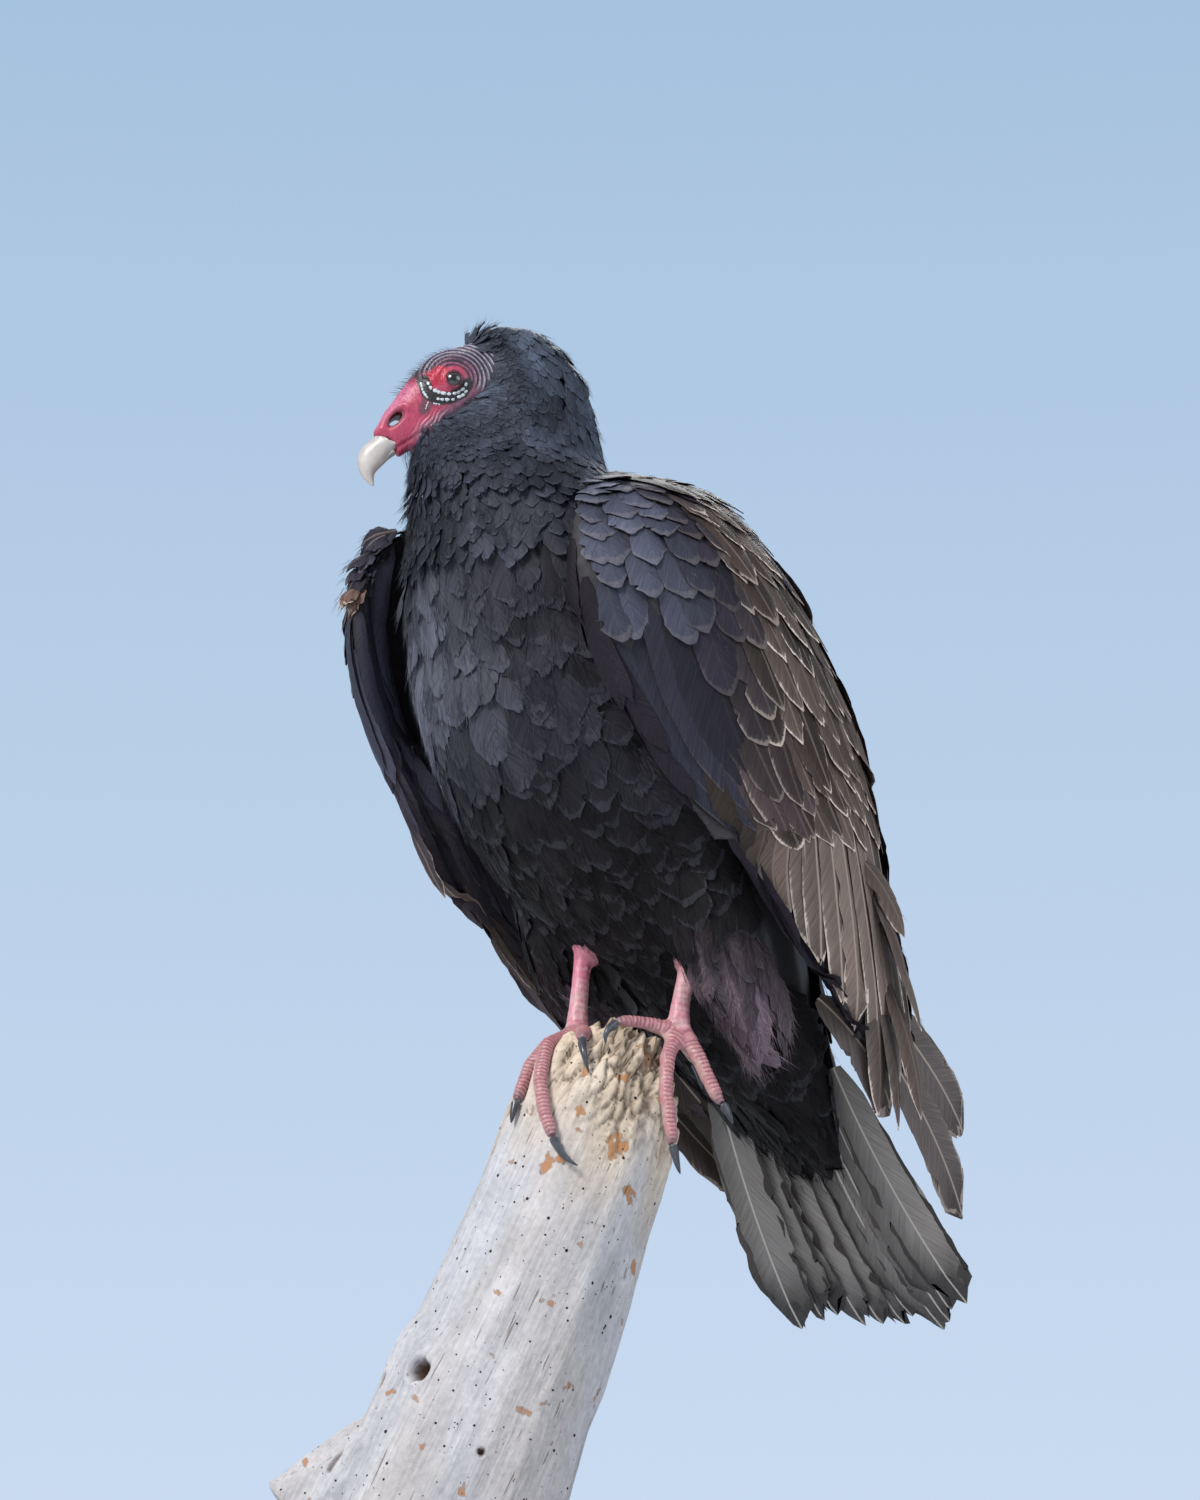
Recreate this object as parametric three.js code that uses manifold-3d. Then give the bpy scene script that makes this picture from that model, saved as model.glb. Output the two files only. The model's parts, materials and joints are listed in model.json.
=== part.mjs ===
// A turkey vulture at rest on the broken tip of a dead, bleached branch, held by a plain display stand.
// Millimetres, +Z up. The bird faces -Y and its left side is +X.
// The body is described about the point between its ankles, and one group sets it on the stand.
import * as THREE from "three";
import { mergeVertices } from "three/addons/utils/BufferGeometryUtils.js";
import Module from "manifold-3d";

// ---- Driving dimensions ----
const GAP = 0.3; // clear space between neighbouring solids
const STAND_HEIGHT = 400; // underside of the base to the point between the ankles
const BASE_DIAMETER = 330;
const BASE_THICKNESS = 18;
const BASE_BEVEL = 3;
const BASE_CENTRE = [-34, -26]; // under the centre of mass of bird and branch
const ROD_DIAMETER = 12;
const ROD_SPACING = 56; // between the two rods' centres
const PERCH_UNDERSIDE = -288; // height of the branch's flat sawn end

const PERCH_HEADING = 45; // degrees from +X to the vertical plane that the branch leans in
const TRUNK_HALF_WIDTH = 108; // trunk alone, without the wings
const TARSUS_LENGTH = 68;
const TOE_HALF_WIDTH = 5.2;
const CLAW_HALF_WIDTH = 3.1;
const EYE_RADIUS = 6.4;
const FEATHER_THICKNESS = 1.4; // of one flight feather

const HEAD_YAW = -38; // degrees, negative turns to the bird's right
const HEAD_PITCH = 39; // degrees, positive looks down
const HEAD_AT = [-18.5, -112, 369.5]; // the point midway between the eyes

const TAIL_LENGTH = 268;
const TAIL_SPREAD = 26; // degrees between the outermost feathers
const TAIL_SLOPE = 50; // degrees below the horizontal
const TAIL_ROOT = [0, 80, 64];
const TAIL_FEATHERS = 7;

// ---- Helpers: vectors, solids and lofts ----
const X_AXIS = new THREE.Vector3(1, 0, 0);
const vec = ([x, y, z]) => new THREE.Vector3(x, y, z);
const radians = THREE.MathUtils.degToRad;
const mirrored = ([x, y, z], sign) => [x * sign, y, z];

const wasm = await Module();
wasm.setup();

// A manifold solid from a list of points and triangles, turned outwards if it came out inside out.
function solidFrom(points, triangles) {
  let volume = 0;
  for (const [a, b, c] of triangles) {
    volume += points[a].dot(new THREE.Vector3().crossVectors(points[b], points[c]));
  }
  const turned = volume < 0 ? triangles.map(([a, b, c]) => [a, c, b]) : triangles;
  const geometry = new THREE.BufferGeometry();
  const places = points.flatMap((point) => point.toArray());
  geometry.setAttribute("position", new THREE.Float32BufferAttribute(places, 3));
  geometry.setIndex(turned.flat());
  return solidOf(geometry);
}

// A manifold solid from any closed three.js geometry.
function solidOf(source) {
  const geometry = source.clone();
  geometry.deleteAttribute("normal");
  geometry.deleteAttribute("uv");
  const merged = mergeVertices(geometry, 1e-4);
  const mesh = new wasm.Mesh({
    numProp: 3,
    vertProperties: new Float32Array(merged.attributes.position.array),
    triVerts: new Uint32Array(merged.index.array),
  });
  return new wasm.Manifold(mesh);
}

// The largest single body of a solid, once its neighbours have been cut out of it.
function cut(solid, ...neighbours) {
  const rest = neighbours.flat().reduce((left, other) => left.subtract(other), solid);
  return rest.decompose().reduce((a, b) => (a.volume() > b.volume() ? a : b));
}

const smoothCurve = (points) => new THREE.CatmullRomCurve3(points, false, "catmullrom", 0.5);

// A solid lofted through stations. Each has a place and half-sizes: wide along `side`, over and under
// across it, where under points along side x direction of travel, a turn of its section in degrees, and a
// pinch that narrows its under half towards a point.
// from and to pick a stretch of the stations, grow enlarges it all round, so that the same shape can cut
// its own seat in a neighbour, trimStart and trimEnd pull its flat ends in, relief roughens its side, and
// a squareness under 1 fills out the corners of its section.
function loft(stations, options) {
  const { rings, sides, side = X_AXIS, from = 0, to = stations.length - 1 } = options;
  const { grow = 0, trimStart = 0, trimEnd = 0, relief = () => 0, squareness = 1 } = options;
  const place = smoothCurve(stations.map((s) => vec(s.at)));
  const sizes = smoothCurve(
    stations.map((s) => new THREE.Vector3(s.wide, s.over ?? s.wide, s.under ?? s.over ?? s.wide)),
  );
  const twists = smoothCurve(stations.map((s) => new THREE.Vector3(s.turn ?? 0, s.pinch ?? 0, 0)));
  const points = [];
  const triangles = [];
  for (let i = 0; i <= rings; i++) {
    const t = THREE.MathUtils.lerp(from, to, i / rings) / (stations.length - 1);
    const along = place.getTangent(t);
    const { x: turned, y: pinch } = twists.getPoint(t);
    const under = new THREE.Vector3().crossVectors(side, along).normalize();
    under.applyAxisAngle(along, radians(turned));
    const across = new THREE.Vector3().crossVectors(along, under).normalize();
    const centre = place.getPoint(t);
    if (i === 0) centre.addScaledVector(along, trimStart - grow);
    if (i === rings) centre.addScaledVector(along, grow - trimEnd);
    const half = sizes.getPoint(t).addScalar(grow);
    for (let k = 0; k < sides; k++) {
      const angle = (2 * Math.PI * k) / sides;
      const extra = 1 + relief(angle, i / rings);
      const narrowing = 1 - pinch * Math.max(0, Math.sin(angle));
      const depth = Math.sin(angle) > 0 ? half.z : half.y;
      const round = [Math.cos(angle), Math.sin(angle)];
      const [x, y] = round.map((share) => Math.sign(share) * Math.abs(share) ** squareness);
      const point = centre.clone().addScaledVector(across, x * half.x * extra * narrowing);
      points.push(point.addScaledVector(under, y * depth * extra));
    }
  }
  for (let i = 0; i < rings; i++) {
    for (let k = 0; k < sides; k++) {
      const a = i * sides + k;
      const b = i * sides + ((k + 1) % sides);
      triangles.push([a, b, b + sides], [a, b + sides, a + sides]);
    }
  }
  for (let k = 1; k < sides - 1; k++) {
    triangles.push([0, k + 1, k]);
    triangles.push([rings * sides, rings * sides + k, rings * sides + k + 1]);
  }
  return solidFrom(points, triangles);
}

// A curved slab between two edges. Each station has the two ends of one row, how far the row bows out
// along `out`, and its thickness behind the rounded front edge and at the back edge.
function shell(stations, { rows, columns, out, grow = 0 }) {
  const curveOf = (pick) => smoothCurve(stations.map(pick));
  const lead = curveOf((s) => vec(s.lead));
  const back = curveOf((s) => vec(s.back));
  const form = curveOf((s) => new THREE.Vector3(s.bow, s.thick, s.thin));
  const points = [];
  for (const inner of [0, 1]) {
    for (let i = 0; i <= rows; i++) {
      const t = i / rows;
      const [start, end, row] = [lead.getPoint(t), back.getPoint(t), form.getPoint(t)];
      const chord = end.clone().sub(start);
      start.addScaledVector(chord.clone().normalize(), -grow);
      end.addScaledVector(chord.clone().normalize(), grow);
      for (let j = 0; j <= columns; j++) {
        const u = j / columns;
        const bow = row.x * 4 * u * (1 - u) * (1.25 - 0.5 * u);
        const rounding = 0.35 + 0.65 * Math.sin((Math.min(1, u / 0.25) * Math.PI) / 2);
        const thickness = THREE.MathUtils.lerp(row.y, row.z, u) * rounding;
        const lift = inner ? bow - thickness - grow : bow + grow;
        points.push(start.clone().lerp(end, u).addScaledVector(out, lift));
      }
    }
  }
  const across = columns + 1;
  const layer = (rows + 1) * across;
  const triangles = [];
  const quad = (a, b, c, d) => triangles.push([a, b, c], [a, c, d]);
  for (let i = 0; i < rows; i++) {
    for (let j = 0; j < columns; j++) {
      const a = i * across + j;
      quad(a, a + 1, a + across + 1, a + across);
      quad(layer + a, layer + a + across, layer + a + across + 1, layer + a + 1);
    }
  }
  for (let i = 0; i < rows; i++) {
    const [a, b] = [i * across, (i + 1) * across];
    quad(a, b, layer + b, layer + a);
    quad(b + columns, a + columns, layer + a + columns, layer + b + columns);
  }
  for (let j = 0; j < columns; j++) {
    quad(j + 1, j, layer + j, layer + j + 1);
    const end = rows * across + j;
    quad(end, end + 1, layer + end + 1, layer + end);
  }
  return solidFrom(points, triangles);
}

// ---- Materials ----
function material(color, roughness, metalness = 0) {
  return new THREE.MeshStandardMaterial({ color, roughness, metalness });
}
const plumage = material(0x24242a, 0.8);
const wingBrown = material(0x6b5a4c, 0.75);
const tailGrey = material(0x8d8882, 0.7);
const redSkin = material(0xa8213f, 0.6);
const ivory = material(0xe6dfd0, 0.4);
const eyeBrown = material(0x4a4440, 0.15);
const pinkScale = material(0xc9807c, 0.7);
const clawSlate = material(0x33343a, 0.4);
const bleachedWood = material(0xc8c2b6, 0.85);
const standBlack = material(0x1c1c1e, 0.5);
const steel = material(0x9a9a9c, 0.35, 0.9);

const bird = new THREE.Group();
bird.position.set(-BASE_CENTRE[0], -BASE_CENTRE[1], STAND_HEIGHT);

function addNode(name, solid, finish) {
  const { vertProperties, triVerts } = solid.getMesh();
  const geometry = new THREE.BufferGeometry();
  geometry.setAttribute("position", new THREE.BufferAttribute(vertProperties, 3));
  geometry.setIndex(new THREE.BufferAttribute(triVerts, 1));
  const mesh = new THREE.Mesh(geometry, finish);
  mesh.name = name;
  bird.add(mesh);
}

// ---- Body: one form from the tail coverts to the crown of the feathered hood, tail first ----
const W = TRUNK_HALF_WIDTH;
const bodyStations = [
  { at: [0, 178, -50], wide: 0.22 * W, over: 8, under: 9 },
  { at: [0, 140, -10], wide: 0.38 * W, over: 24, under: 30 },
  { at: [0, 104, 30], wide: 0.58 * W, over: 46, under: 44 },
  { at: [0, 66, 74], wide: 0.78 * W, over: 68, under: 56 },
  { at: [0, 34, 120], wide: 0.93 * W, over: 84, under: 78 },
  { at: [0, 8, 165], wide: W, over: 92, under: 96 },
  { at: [0, -16, 210], wide: 0.98 * W, over: 94, under: 102 },
  { at: [0, -44, 252], wide: 0.93 * W, over: 84, under: 92 },
  { at: [0, -68, 280], wide: 0.78 * W, over: 70, under: 72 },
  { at: [0, -80, 304], wide: 0.58 * W, over: 59, under: 61, turn: 0.2 * HEAD_YAW },
  { at: [0, -83, 326], wide: 46, over: 57, under: 60, turn: 0.5 * HEAD_YAW, pinch: 0.2 },
  { at: [3, -85, 348], wide: 30, over: 52, under: 53, turn: 0.8 * HEAD_YAW, pinch: 0.66 },
  { at: [2, -82, 368], wide: 27, over: 44, under: 46, turn: HEAD_YAW, pinch: 0.5 },
  { at: [-3, -84, 385], wide: 24, over: 31, under: 34, turn: HEAD_YAW, pinch: 0.3 },
  { at: [-12, -90, 397], wide: 17, over: 18, under: 20, turn: HEAD_YAW, pinch: 0.2 },
  { at: [-18, -94, 404], wide: 5, over: 5, under: 6, turn: HEAD_YAW },
];
const NECK_STATION = 8.6; // where the neck leaves the trunk
const trunkShape = (options) => loft(bodyStations, { rings: 14, sides: 20, to: NECK_STATION, ...options });
const hoodShape = (options) => loft(bodyStations, { rings: 11, sides: 20, from: NECK_STATION, ...options });

// ---- Head: bare skin, described facing -Y about the point midway between the eyes ----
const headPose = new THREE.Matrix4()
  .makeTranslation(...HEAD_AT)
  .multiply(new THREE.Matrix4().makeRotationZ(radians(HEAD_YAW)))
  .multiply(new THREE.Matrix4().makeRotationX(radians(HEAD_PITCH)));
const posed = (solid) => solid.transform(headPose.elements);

const headStations = [
  { at: [0, 37, 0], wide: 8, over: 6, under: 7 },
  { at: [0, 28, 1], wide: 14, over: 11, under: 13 },
  { at: [0, 17, 1], wide: 18.5, over: 15, under: 17 },
  { at: [0, 6, 1], wide: 20.5, over: 19.4, under: 19 },
  { at: [0, -4, 1], wide: 20, over: 20, under: 19.2 },
  { at: [0, -18, 0], wide: 16, over: 18, under: 17.8 },
  { at: [0, -30, -1], wide: 12.5, over: 15.2, under: 15.6 },
  { at: [0, -42, -2.6], wide: 9.8, over: 13.4, under: 12.6 },
  { at: [0, -50, -3.6], wide: 7.8, over: 9, under: 8.8 },
];
const headShape = (options) =>
  posed(loft(headStations, { rings: 12, sides: 16, squareness: 0.82, ...options }));

const billUpperStations = [
  { at: [0, -48.5, -2.4], wide: 7.6, over: 6.4, under: 5.6 },
  { at: [0, -55, -3.2], wide: 7.4, over: 7.4, under: 6 },
  { at: [0, -62, -5.2], wide: 6.4, over: 8.8, under: 7.4 },
  { at: [0, -67.4, -8.8], wide: 4.6, over: 6.6, under: 5.6 },
  { at: [0, -70, -13], wide: 2.6, over: 3.6, under: 2.8 },
  { at: [0, -71.4, -18.4], wide: 0.8, over: 0.8, under: 0.8 },
];
const billLowerStations = [
  { at: [0, -45, -11], wide: 5.4, over: 2.4, under: 1.8 },
  { at: [0, -53, -11.2], wide: 4.4, over: 2, under: 1.6 },
  { at: [0, -58, -11.8], wide: 2.4, over: 1.2, under: 1 },
];
const billUpper = (options) => posed(loft(billUpperStations, { rings: 8, sides: 10, ...options }));
const billLower = (options) => posed(loft(billLowerStations, { rings: 3, sides: 8, ...options }));
const eyeAt = (sign) => [sign * 15.6, 0, 0];
function eyeBall(sign, radius) {
  const ball = new THREE.SphereGeometry(radius, 12, 7);
  ball.translate(...eyeAt(sign));
  return posed(solidOf(ball));
}

// ---- Legs and feet, described in the branch's own directions: across its lean, to its front, up ----
const perchTurn = radians(PERCH_HEADING);
const PERCH_SIDE = new THREE.Vector3(Math.cos(perchTurn), Math.sin(perchTurn), 0);
const PERCH_FRONT = new THREE.Vector3(Math.sin(perchTurn), -Math.cos(perchTurn), 0);
function onPerch([across, front, up]) {
  const point = new THREE.Vector3(0, 0, up).addScaledVector(PERCH_SIDE, across);
  return point.addScaledVector(PERCH_FRONT, front).toArray();
}

// Each toe runs from the ankle to the root of its claw, and the claw goes on from there to its tip.
const feet = {
  left: {
    ankle: [38, 12, 6],
    toes: {
      middle: {
        path: [[36, 17, 3], [31, 28, -11], [30, 35, -31], [32, 38, -50], [34, 39, -62]],
        tip: [38, 36, -78],
      },
      outer: { path: [[42, 15, 4], [51, 21, -15], [58, 24, -31], [62, 25, -37]], tip: [68, 22, -48] },
      inner: { path: [[33, 15, 6], [18, 20, 10], [6, 26, 10], [2, 29, 8]], tip: [-4, 34, -4] },
      hind: { path: [[40, 6, 3], [42, -10, 2], [46, -24, -2], [48, -30, -6]], tip: [52, -37, -20] },
    },
  },
  right: {
    ankle: [-20, -15, 9],
    toes: {
      middle: {
        path: [[-24, -9, 7], [-37, 10, -1], [-41, 26, -23], [-38, 35, -44], [-33, 39, -58]],
        tip: [-19, 42, -74],
      },
      outer: { path: [[-26, -14, 6], [-42, -2, -4], [-50, 8, -22], [-54, 14, -34]], tip: [-57, 17, -47] },
      inner: { path: [[-18, -8, 8], [-16, 8, 7], [-17, 22, 2], [-17, 27, -1]], tip: [-13, 33, -21] },
      hind: { path: [[-20, -20, 6], [-20, -36, 3], [-21, -48, -5], [-22, -52, -10]], tip: [-22, -56, -26] },
    },
  },
};
const footOf = (sign) => (sign > 0 ? feet.left : feet.right);

function tarsusStations(sign) {
  const [x, y, z] = onPerch(footOf(sign).ankle);
  return [
    { at: [x, y, z - 5], wide: 5.5, over: 6 },
    { at: [x, y, z + 2], wide: 6.8, over: 7.6 },
    { at: [x, y + 1, z + 14], wide: 5.6, over: 6.4 },
    { at: [x + 2 * sign, y + 6, z + TARSUS_LENGTH * 0.6], wide: 5.2, over: 6 },
    { at: [x + 4 * sign, y + 12, z + TARSUS_LENGTH], wide: 6.5, over: 7.5 },
  ];
}
const tarsusShape = (sign, options) => loft(tarsusStations(sign), { rings: 6, sides: 10, ...options });

function toeShape(sign, toe, options = {}) {
  const path = footOf(sign).toes[toe].path;
  const last = path.length - 1;
  const stations = path.map((place, i) => ({
    at: onPerch(place),
    wide: TOE_HALF_WIDTH * (1.05 - (0.2 * i) / last),
    over: TOE_HALF_WIDTH * (0.95 - (0.2 * i) / last),
  }));
  return loft(stations, { rings: 4, sides: 8, side: PERCH_SIDE, ...options });
}
function clawShape(sign, toe, options = {}) {
  const { path, tip } = footOf(sign).toes[toe];
  const [before, root, end] = [path.at(-2), path.at(-1), tip].map((place) => vec(onPerch(place)));
  const onward = root.clone().sub(before).setLength(root.distanceTo(end) * 0.45);
  const middle = root.clone().add(onward).lerp(end, 0.25);
  const stations = [root, middle, end].map((place, i) => ({
    at: place.toArray(),
    wide: CLAW_HALF_WIDTH * [1, 0.72, 0.16][i],
    over: CLAW_HALF_WIDTH * [1.2, 0.85, 0.16][i],
  }));
  return loft(stations, { rings: 4, sides: 6, side: PERCH_SIDE, ...options });
}

// Loose feathering of the thigh, which hangs lower on the left leg.
const thighStations = (sign) => {
  const low = sign > 0 ? 0 : 34;
  return [
    { at: mirrored([64, 60 - 0.3 * low, -12 + low], sign), wide: 6, over: 7 },
    { at: mirrored([63, 54 - 0.3 * low, 14 + 0.8 * low], sign), wide: 17, over: 22 },
    { at: mirrored([58, 38, 56], sign), wide: 28, over: 30, under: 34 },
    { at: mirrored([52, 20, 100], sign), wide: 36, over: 32, under: 42 },
    { at: mirrored([44, 4, 150], sign), wide: 32, over: 28, under: 38 },
  ];
};
const thighShape = (sign, options) => loft(thighStations(sign), { rings: 8, sides: 12, ...options });

// ---- Wings ----
// A folded wing's front edge, its back edge along the spine, and the bow of its surface between them.
// The right wing is held a little further off the body at its lower front edge, by each station's flare.
function onSide(stations, sign) {
  return stations.map((s) => {
    const [x, y, z] = s.lead;
    const flare = sign < 0 ? s.flare ?? 0 : 0;
    return { ...s, lead: mirrored([x + flare, y, z], sign), back: mirrored(s.back, sign) };
  });
}
const outward = (sign) => new THREE.Vector3(sign, 0, 0);
const covertStations = [
  { lead: [68, -88, 306], back: [66, -62, 316], bow: 4, thick: 8, thin: 8 },
  { lead: [84, -108, 288], back: [90, -6, 305], bow: 22, thick: 24, thin: 20 },
  { lead: [95, -122, 255], back: [106, 28, 268], bow: 36, thick: 36, thin: 28 },
  { lead: [99, -114, 212], back: [112, 58, 224], bow: 42, thick: 36, thin: 28 },
  { lead: [103, -82, 160], back: [116, 84, 178], bow: 34, thick: 22, thin: 22 },
  { lead: [108, -30, 96], back: [113, 106, 116], bow: 17, thick: 5, thin: 5, flare: 3 },
];
const secondaryStations = [
  { lead: [96, -72, 180], back: [106, 80, 190], bow: 36, thick: 14, thin: 14 },
  { lead: [103, -30, 130], back: [110, 98, 146], bow: 28, thick: 12, thin: 12, flare: 4 },
  { lead: [106, 10, 84], back: [103, 121, 106], bow: 20, thick: 9, thin: 9, flare: 13 },
  { lead: [105, 50, 46], back: [92, 144, 64], bow: 14, thick: 7, thin: 7, flare: 12 },
  { lead: [98, 92, 6], back: [80, 167, 22], bow: 8, thick: 5, thin: 5, flare: 8 },
  { lead: [84, 138, -20], back: [70, 180, -12], bow: 2, thick: 2.5, thin: 2.5 },
];
const covertShape = (sign, options) =>
  shell(onSide(covertStations, sign), { rows: 11, columns: 7, out: outward(sign), ...options });
const secondaryShape = (sign, options) =>
  shell(onSide(secondaryStations, sign), { rows: 8, columns: 5, out: outward(sign), ...options });

// The longest flight feathers show past the rest of the wing: two over the tail, and one beside it.
const primaries = {
  left: [
    { root: [88, 100, 48], tip: [51, 246, -34] },
    { root: [84, 104, 30], tip: [48, 248, -84] },
    { root: [86, 80, 26], tip: [78, 150, -34] },
  ],
  right: [
    { root: [-88, 100, 48], tip: [-51, 240, -38] },
    { root: [-84, 104, 30], tip: [-48, 240, -86] },
    { root: [-86, 84, 26], tip: [-76, 198, -66] },
  ],
};
function primaryShape({ root, tip }, options) {
  const widths = [[0, 9], [0.4, 12], [0.8, 12], [0.93, 9], [1, 2.5]];
  const stations = widths.map(([share, wide]) => ({
    at: vec(root).lerp(vec(tip), share).toArray(),
    wide,
    over: FEATHER_THICKNESS / 2,
  }));
  return loft(stations, { rings: 6, sides: 6, side: new THREE.Vector3(0, 0.7, 0.7), ...options });
}

// Ruffled shoulder feathers that stand off the right wing.
const ruffleStations = [
  { at: [-86, -80, 299], wide: 8, over: 6 },
  { at: [-104, -88, 286], wide: 16, over: 9 },
  { at: [-116, -92, 264], wide: 18, over: 8 },
  { at: [-118, -90, 238], wide: 10, over: 5 },
  { at: [-116, -86, 226], wide: 3, over: 2 },
];
const ruffleShape = (options) =>
  loft(ruffleStations, { rings: 8, sides: 10, side: new THREE.Vector3(0, 1, 0), ...options });

// ---- Tail ----
const tailSlope = radians(TAIL_SLOPE);
const tailDown = new THREE.Vector3(0, Math.cos(tailSlope), -Math.sin(tailSlope));
const tailUnder = new THREE.Vector3(0, -Math.sin(tailSlope), -Math.cos(tailSlope));
function tailFeather(index, options) {
  const middle = (TAIL_FEATHERS - 1) / 2;
  const place = (index - middle) / middle;
  const turn = radians((place * TAIL_SPREAD) / 2);
  const along = tailDown.clone().multiplyScalar(Math.cos(turn)).addScaledVector(X_AXIS, Math.sin(turn));
  const side = X_AXIS.clone().multiplyScalar(Math.cos(turn)).addScaledVector(tailDown, -Math.sin(turn));
  const root = vec(TAIL_ROOT).addScaledVector(X_AXIS, place * 10);
  const layer = 2 * Math.abs(index - middle) - (index > middle ? 1 : 0);
  root.addScaledVector(tailUnder, layer * (FEATHER_THICKNESS + GAP));
  const length = TAIL_LENGTH * (1 - 0.05 * place * place);
  const widths = [[0, 5], [0.3, 12], [0.6, 16], [0.85, 18], [0.95, 15], [1, 7]];
  const stations = widths.map(([share, wide]) => ({
    at: root.clone().addScaledVector(along, share * length).toArray(),
    wide,
    over: FEATHER_THICKNESS / 2,
  }));
  return loft(stations, { rings: 7, sides: 6, side, ...options });
}

// ---- Perch: the broken tip of a dead branch, with the stub of a side branch, sawn flat below ----
const perchStations = [
  { at: onPerch([-108, -12, PERCH_UNDERSIDE - 24]), wide: 66, over: 62, under: 60 },
  { at: onPerch([-72, -12, -205]), wide: 61, over: 58, under: 56 },
  { at: onPerch([-55, -12, -170]), wide: 57, over: 54, under: 52 },
  { at: onPerch([-30, -12, -100]), wide: 51, over: 52, under: 50 },
  { at: onPerch([-17, -12, -62]), wide: 50, over: 50, under: 48 },
  { at: onPerch([-7, -11, -30]), wide: 48, over: 44, under: 43 },
  { at: onPerch([4, -9, -9]), wide: 36, over: 36, under: 34 },
  { at: onPerch([12, -8, 4]), wide: 17, over: 22, under: 22 },
];
const stubStations = [
  { at: onPerch([-66, -10, -200]), wide: 30, over: 30 },
  { at: onPerch([-112, -8, -228]), wide: 31, over: 28 },
  { at: onPerch([-150, -6, -250]), wide: 29, over: 26 },
  { at: onPerch([-180, -4, -268]), wide: 26, over: 22 },
];
// Shallow ridges along the wood, and a ragged broken top.
function woodRelief(angle, t) {
  const ridges = 0.018 * Math.sin(7 * angle + 3 * t) + 0.02 * Math.sin(3 * angle - 5 * t);
  return ridges + 0.07 * t ** 8 * Math.sin(5 * angle);
}
const perchShape = (options = {}) => {
  const detail = { side: PERCH_SIDE, relief: woodRelief, ...options };
  const trunkWood = loft(perchStations, { rings: 11, sides: 18, ...detail });
  const stub = loft(stubStations, { rings: 5, sides: 12, ...detail });
  const below = new THREE.BoxGeometry(600, 600, 200);
  below.translate(0, 0, PERCH_UNDERSIDE - 100);
  return cut(trunkWood.add(stub), solidOf(below));
};

// ---- Stand: a flat round base and two short rods up to the branch ----
const rodHeight = STAND_HEIGHT + PERCH_UNDERSIDE - BASE_THICKNESS - 2 * GAP;
function baseShape() {
  const radius = BASE_DIAMETER / 2;
  const profile = [
    [0, 0],
    [radius - BASE_BEVEL, 0],
    [radius, BASE_BEVEL],
    [radius, BASE_THICKNESS - BASE_BEVEL],
    [radius - BASE_BEVEL, BASE_THICKNESS],
    [0, BASE_THICKNESS],
  ].map(([r, z]) => new THREE.Vector2(r, z));
  const disc = new THREE.LatheGeometry(profile, 40);
  disc.rotateX(Math.PI / 2);
  disc.translate(...BASE_CENTRE, -STAND_HEIGHT);
  return disc;
}
function rodShape(sign) {
  const rod = new THREE.CylinderGeometry(ROD_DIAMETER / 2, ROD_DIAMETER / 2, rodHeight, 16);
  rod.rotateX(Math.PI / 2);
  const foot = onPerch([-104 + (sign * ROD_SPACING) / 2, -10, 0]);
  rod.translate(foot[0], foot[1], PERCH_UNDERSIDE - GAP - rodHeight / 2);
  return rod;
}

// ---- Assembly ----
const seatOfTrunk = trunkShape({ grow: GAP });
const seatOfHood = hoodShape({ grow: GAP });
const seatsOfFeet = [];
const seatOfHead = headShape({ grow: GAP });
const seatsOfEyes = [1, -1].map((sign) => eyeBall(sign, EYE_RADIUS + GAP));

addNode("head", cut(headShape({}), seatsOfEyes), redSkin);
addNode("bill_upper", cut(billUpper({}), seatOfHead), ivory);
addNode("bill_lower", cut(billLower({}), seatOfHead, billUpper({ grow: GAP })), ivory);
addNode("eye_left", eyeBall(1, EYE_RADIUS), eyeBrown);
addNode("eye_right", eyeBall(-1, EYE_RADIUS), eyeBrown);
addNode("neck", cut(hoodShape({}), seatOfHead, seatsOfEyes), plumage);
addNode("trunk", trunkShape({ trimEnd: GAP }), plumage);

for (const [suffix, sign] of [["left", 1], ["right", -1]]) {
  const tarsusSeat = tarsusShape(sign, { grow: GAP });
  seatsOfFeet.push(tarsusSeat);
  addNode("tarsus_" + suffix, cut(tarsusShape(sign, {}), seatOfTrunk), pinkScale);
  addNode("thigh_" + suffix, cut(thighShape(sign, {}), seatOfTrunk, tarsusSeat), plumage);
  const toeSeats = [tarsusSeat];
  for (const toe of ["middle", "outer", "inner", "hind"]) {
    addNode("toe_" + toe + "_" + suffix, cut(toeShape(sign, toe), toeSeats), pinkScale);
    const toeSeat = toeShape(sign, toe, { grow: GAP });
    addNode("claw_" + toe + "_" + suffix, cut(clawShape(sign, toe), toeSeat), clawSlate);
    toeSeats.push(toeSeat);
    seatsOfFeet.push(clawShape(sign, toe, { grow: GAP }));
  }
  seatsOfFeet.push(...toeSeats);
  const seatOfThigh = thighShape(sign, { grow: GAP });
  const coverts = cut(covertShape(sign, {}), seatOfTrunk, seatOfHood, seatOfThigh);
  addNode("wing_coverts_" + suffix, coverts, wingBrown);
  const seats = [seatOfTrunk, seatOfThigh, covertShape(sign, { grow: GAP })];
  addNode("wing_secondaries_" + suffix, cut(secondaryShape(sign, {}), seats), wingBrown);
  seats.push(secondaryShape(sign, { grow: GAP }));
  primaries[suffix].forEach((feather, index) => {
    addNode("wing_primary_" + (index + 1) + "_" + suffix, cut(primaryShape(feather), seats), wingBrown);
    seats.push(primaryShape(feather, { grow: GAP }));
  });
}
const seatOfRightCoverts = covertShape(-1, { grow: GAP });
addNode("ruffle_right", cut(ruffleShape({}), seatOfTrunk, seatOfHood, seatOfRightCoverts), wingBrown);
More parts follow.
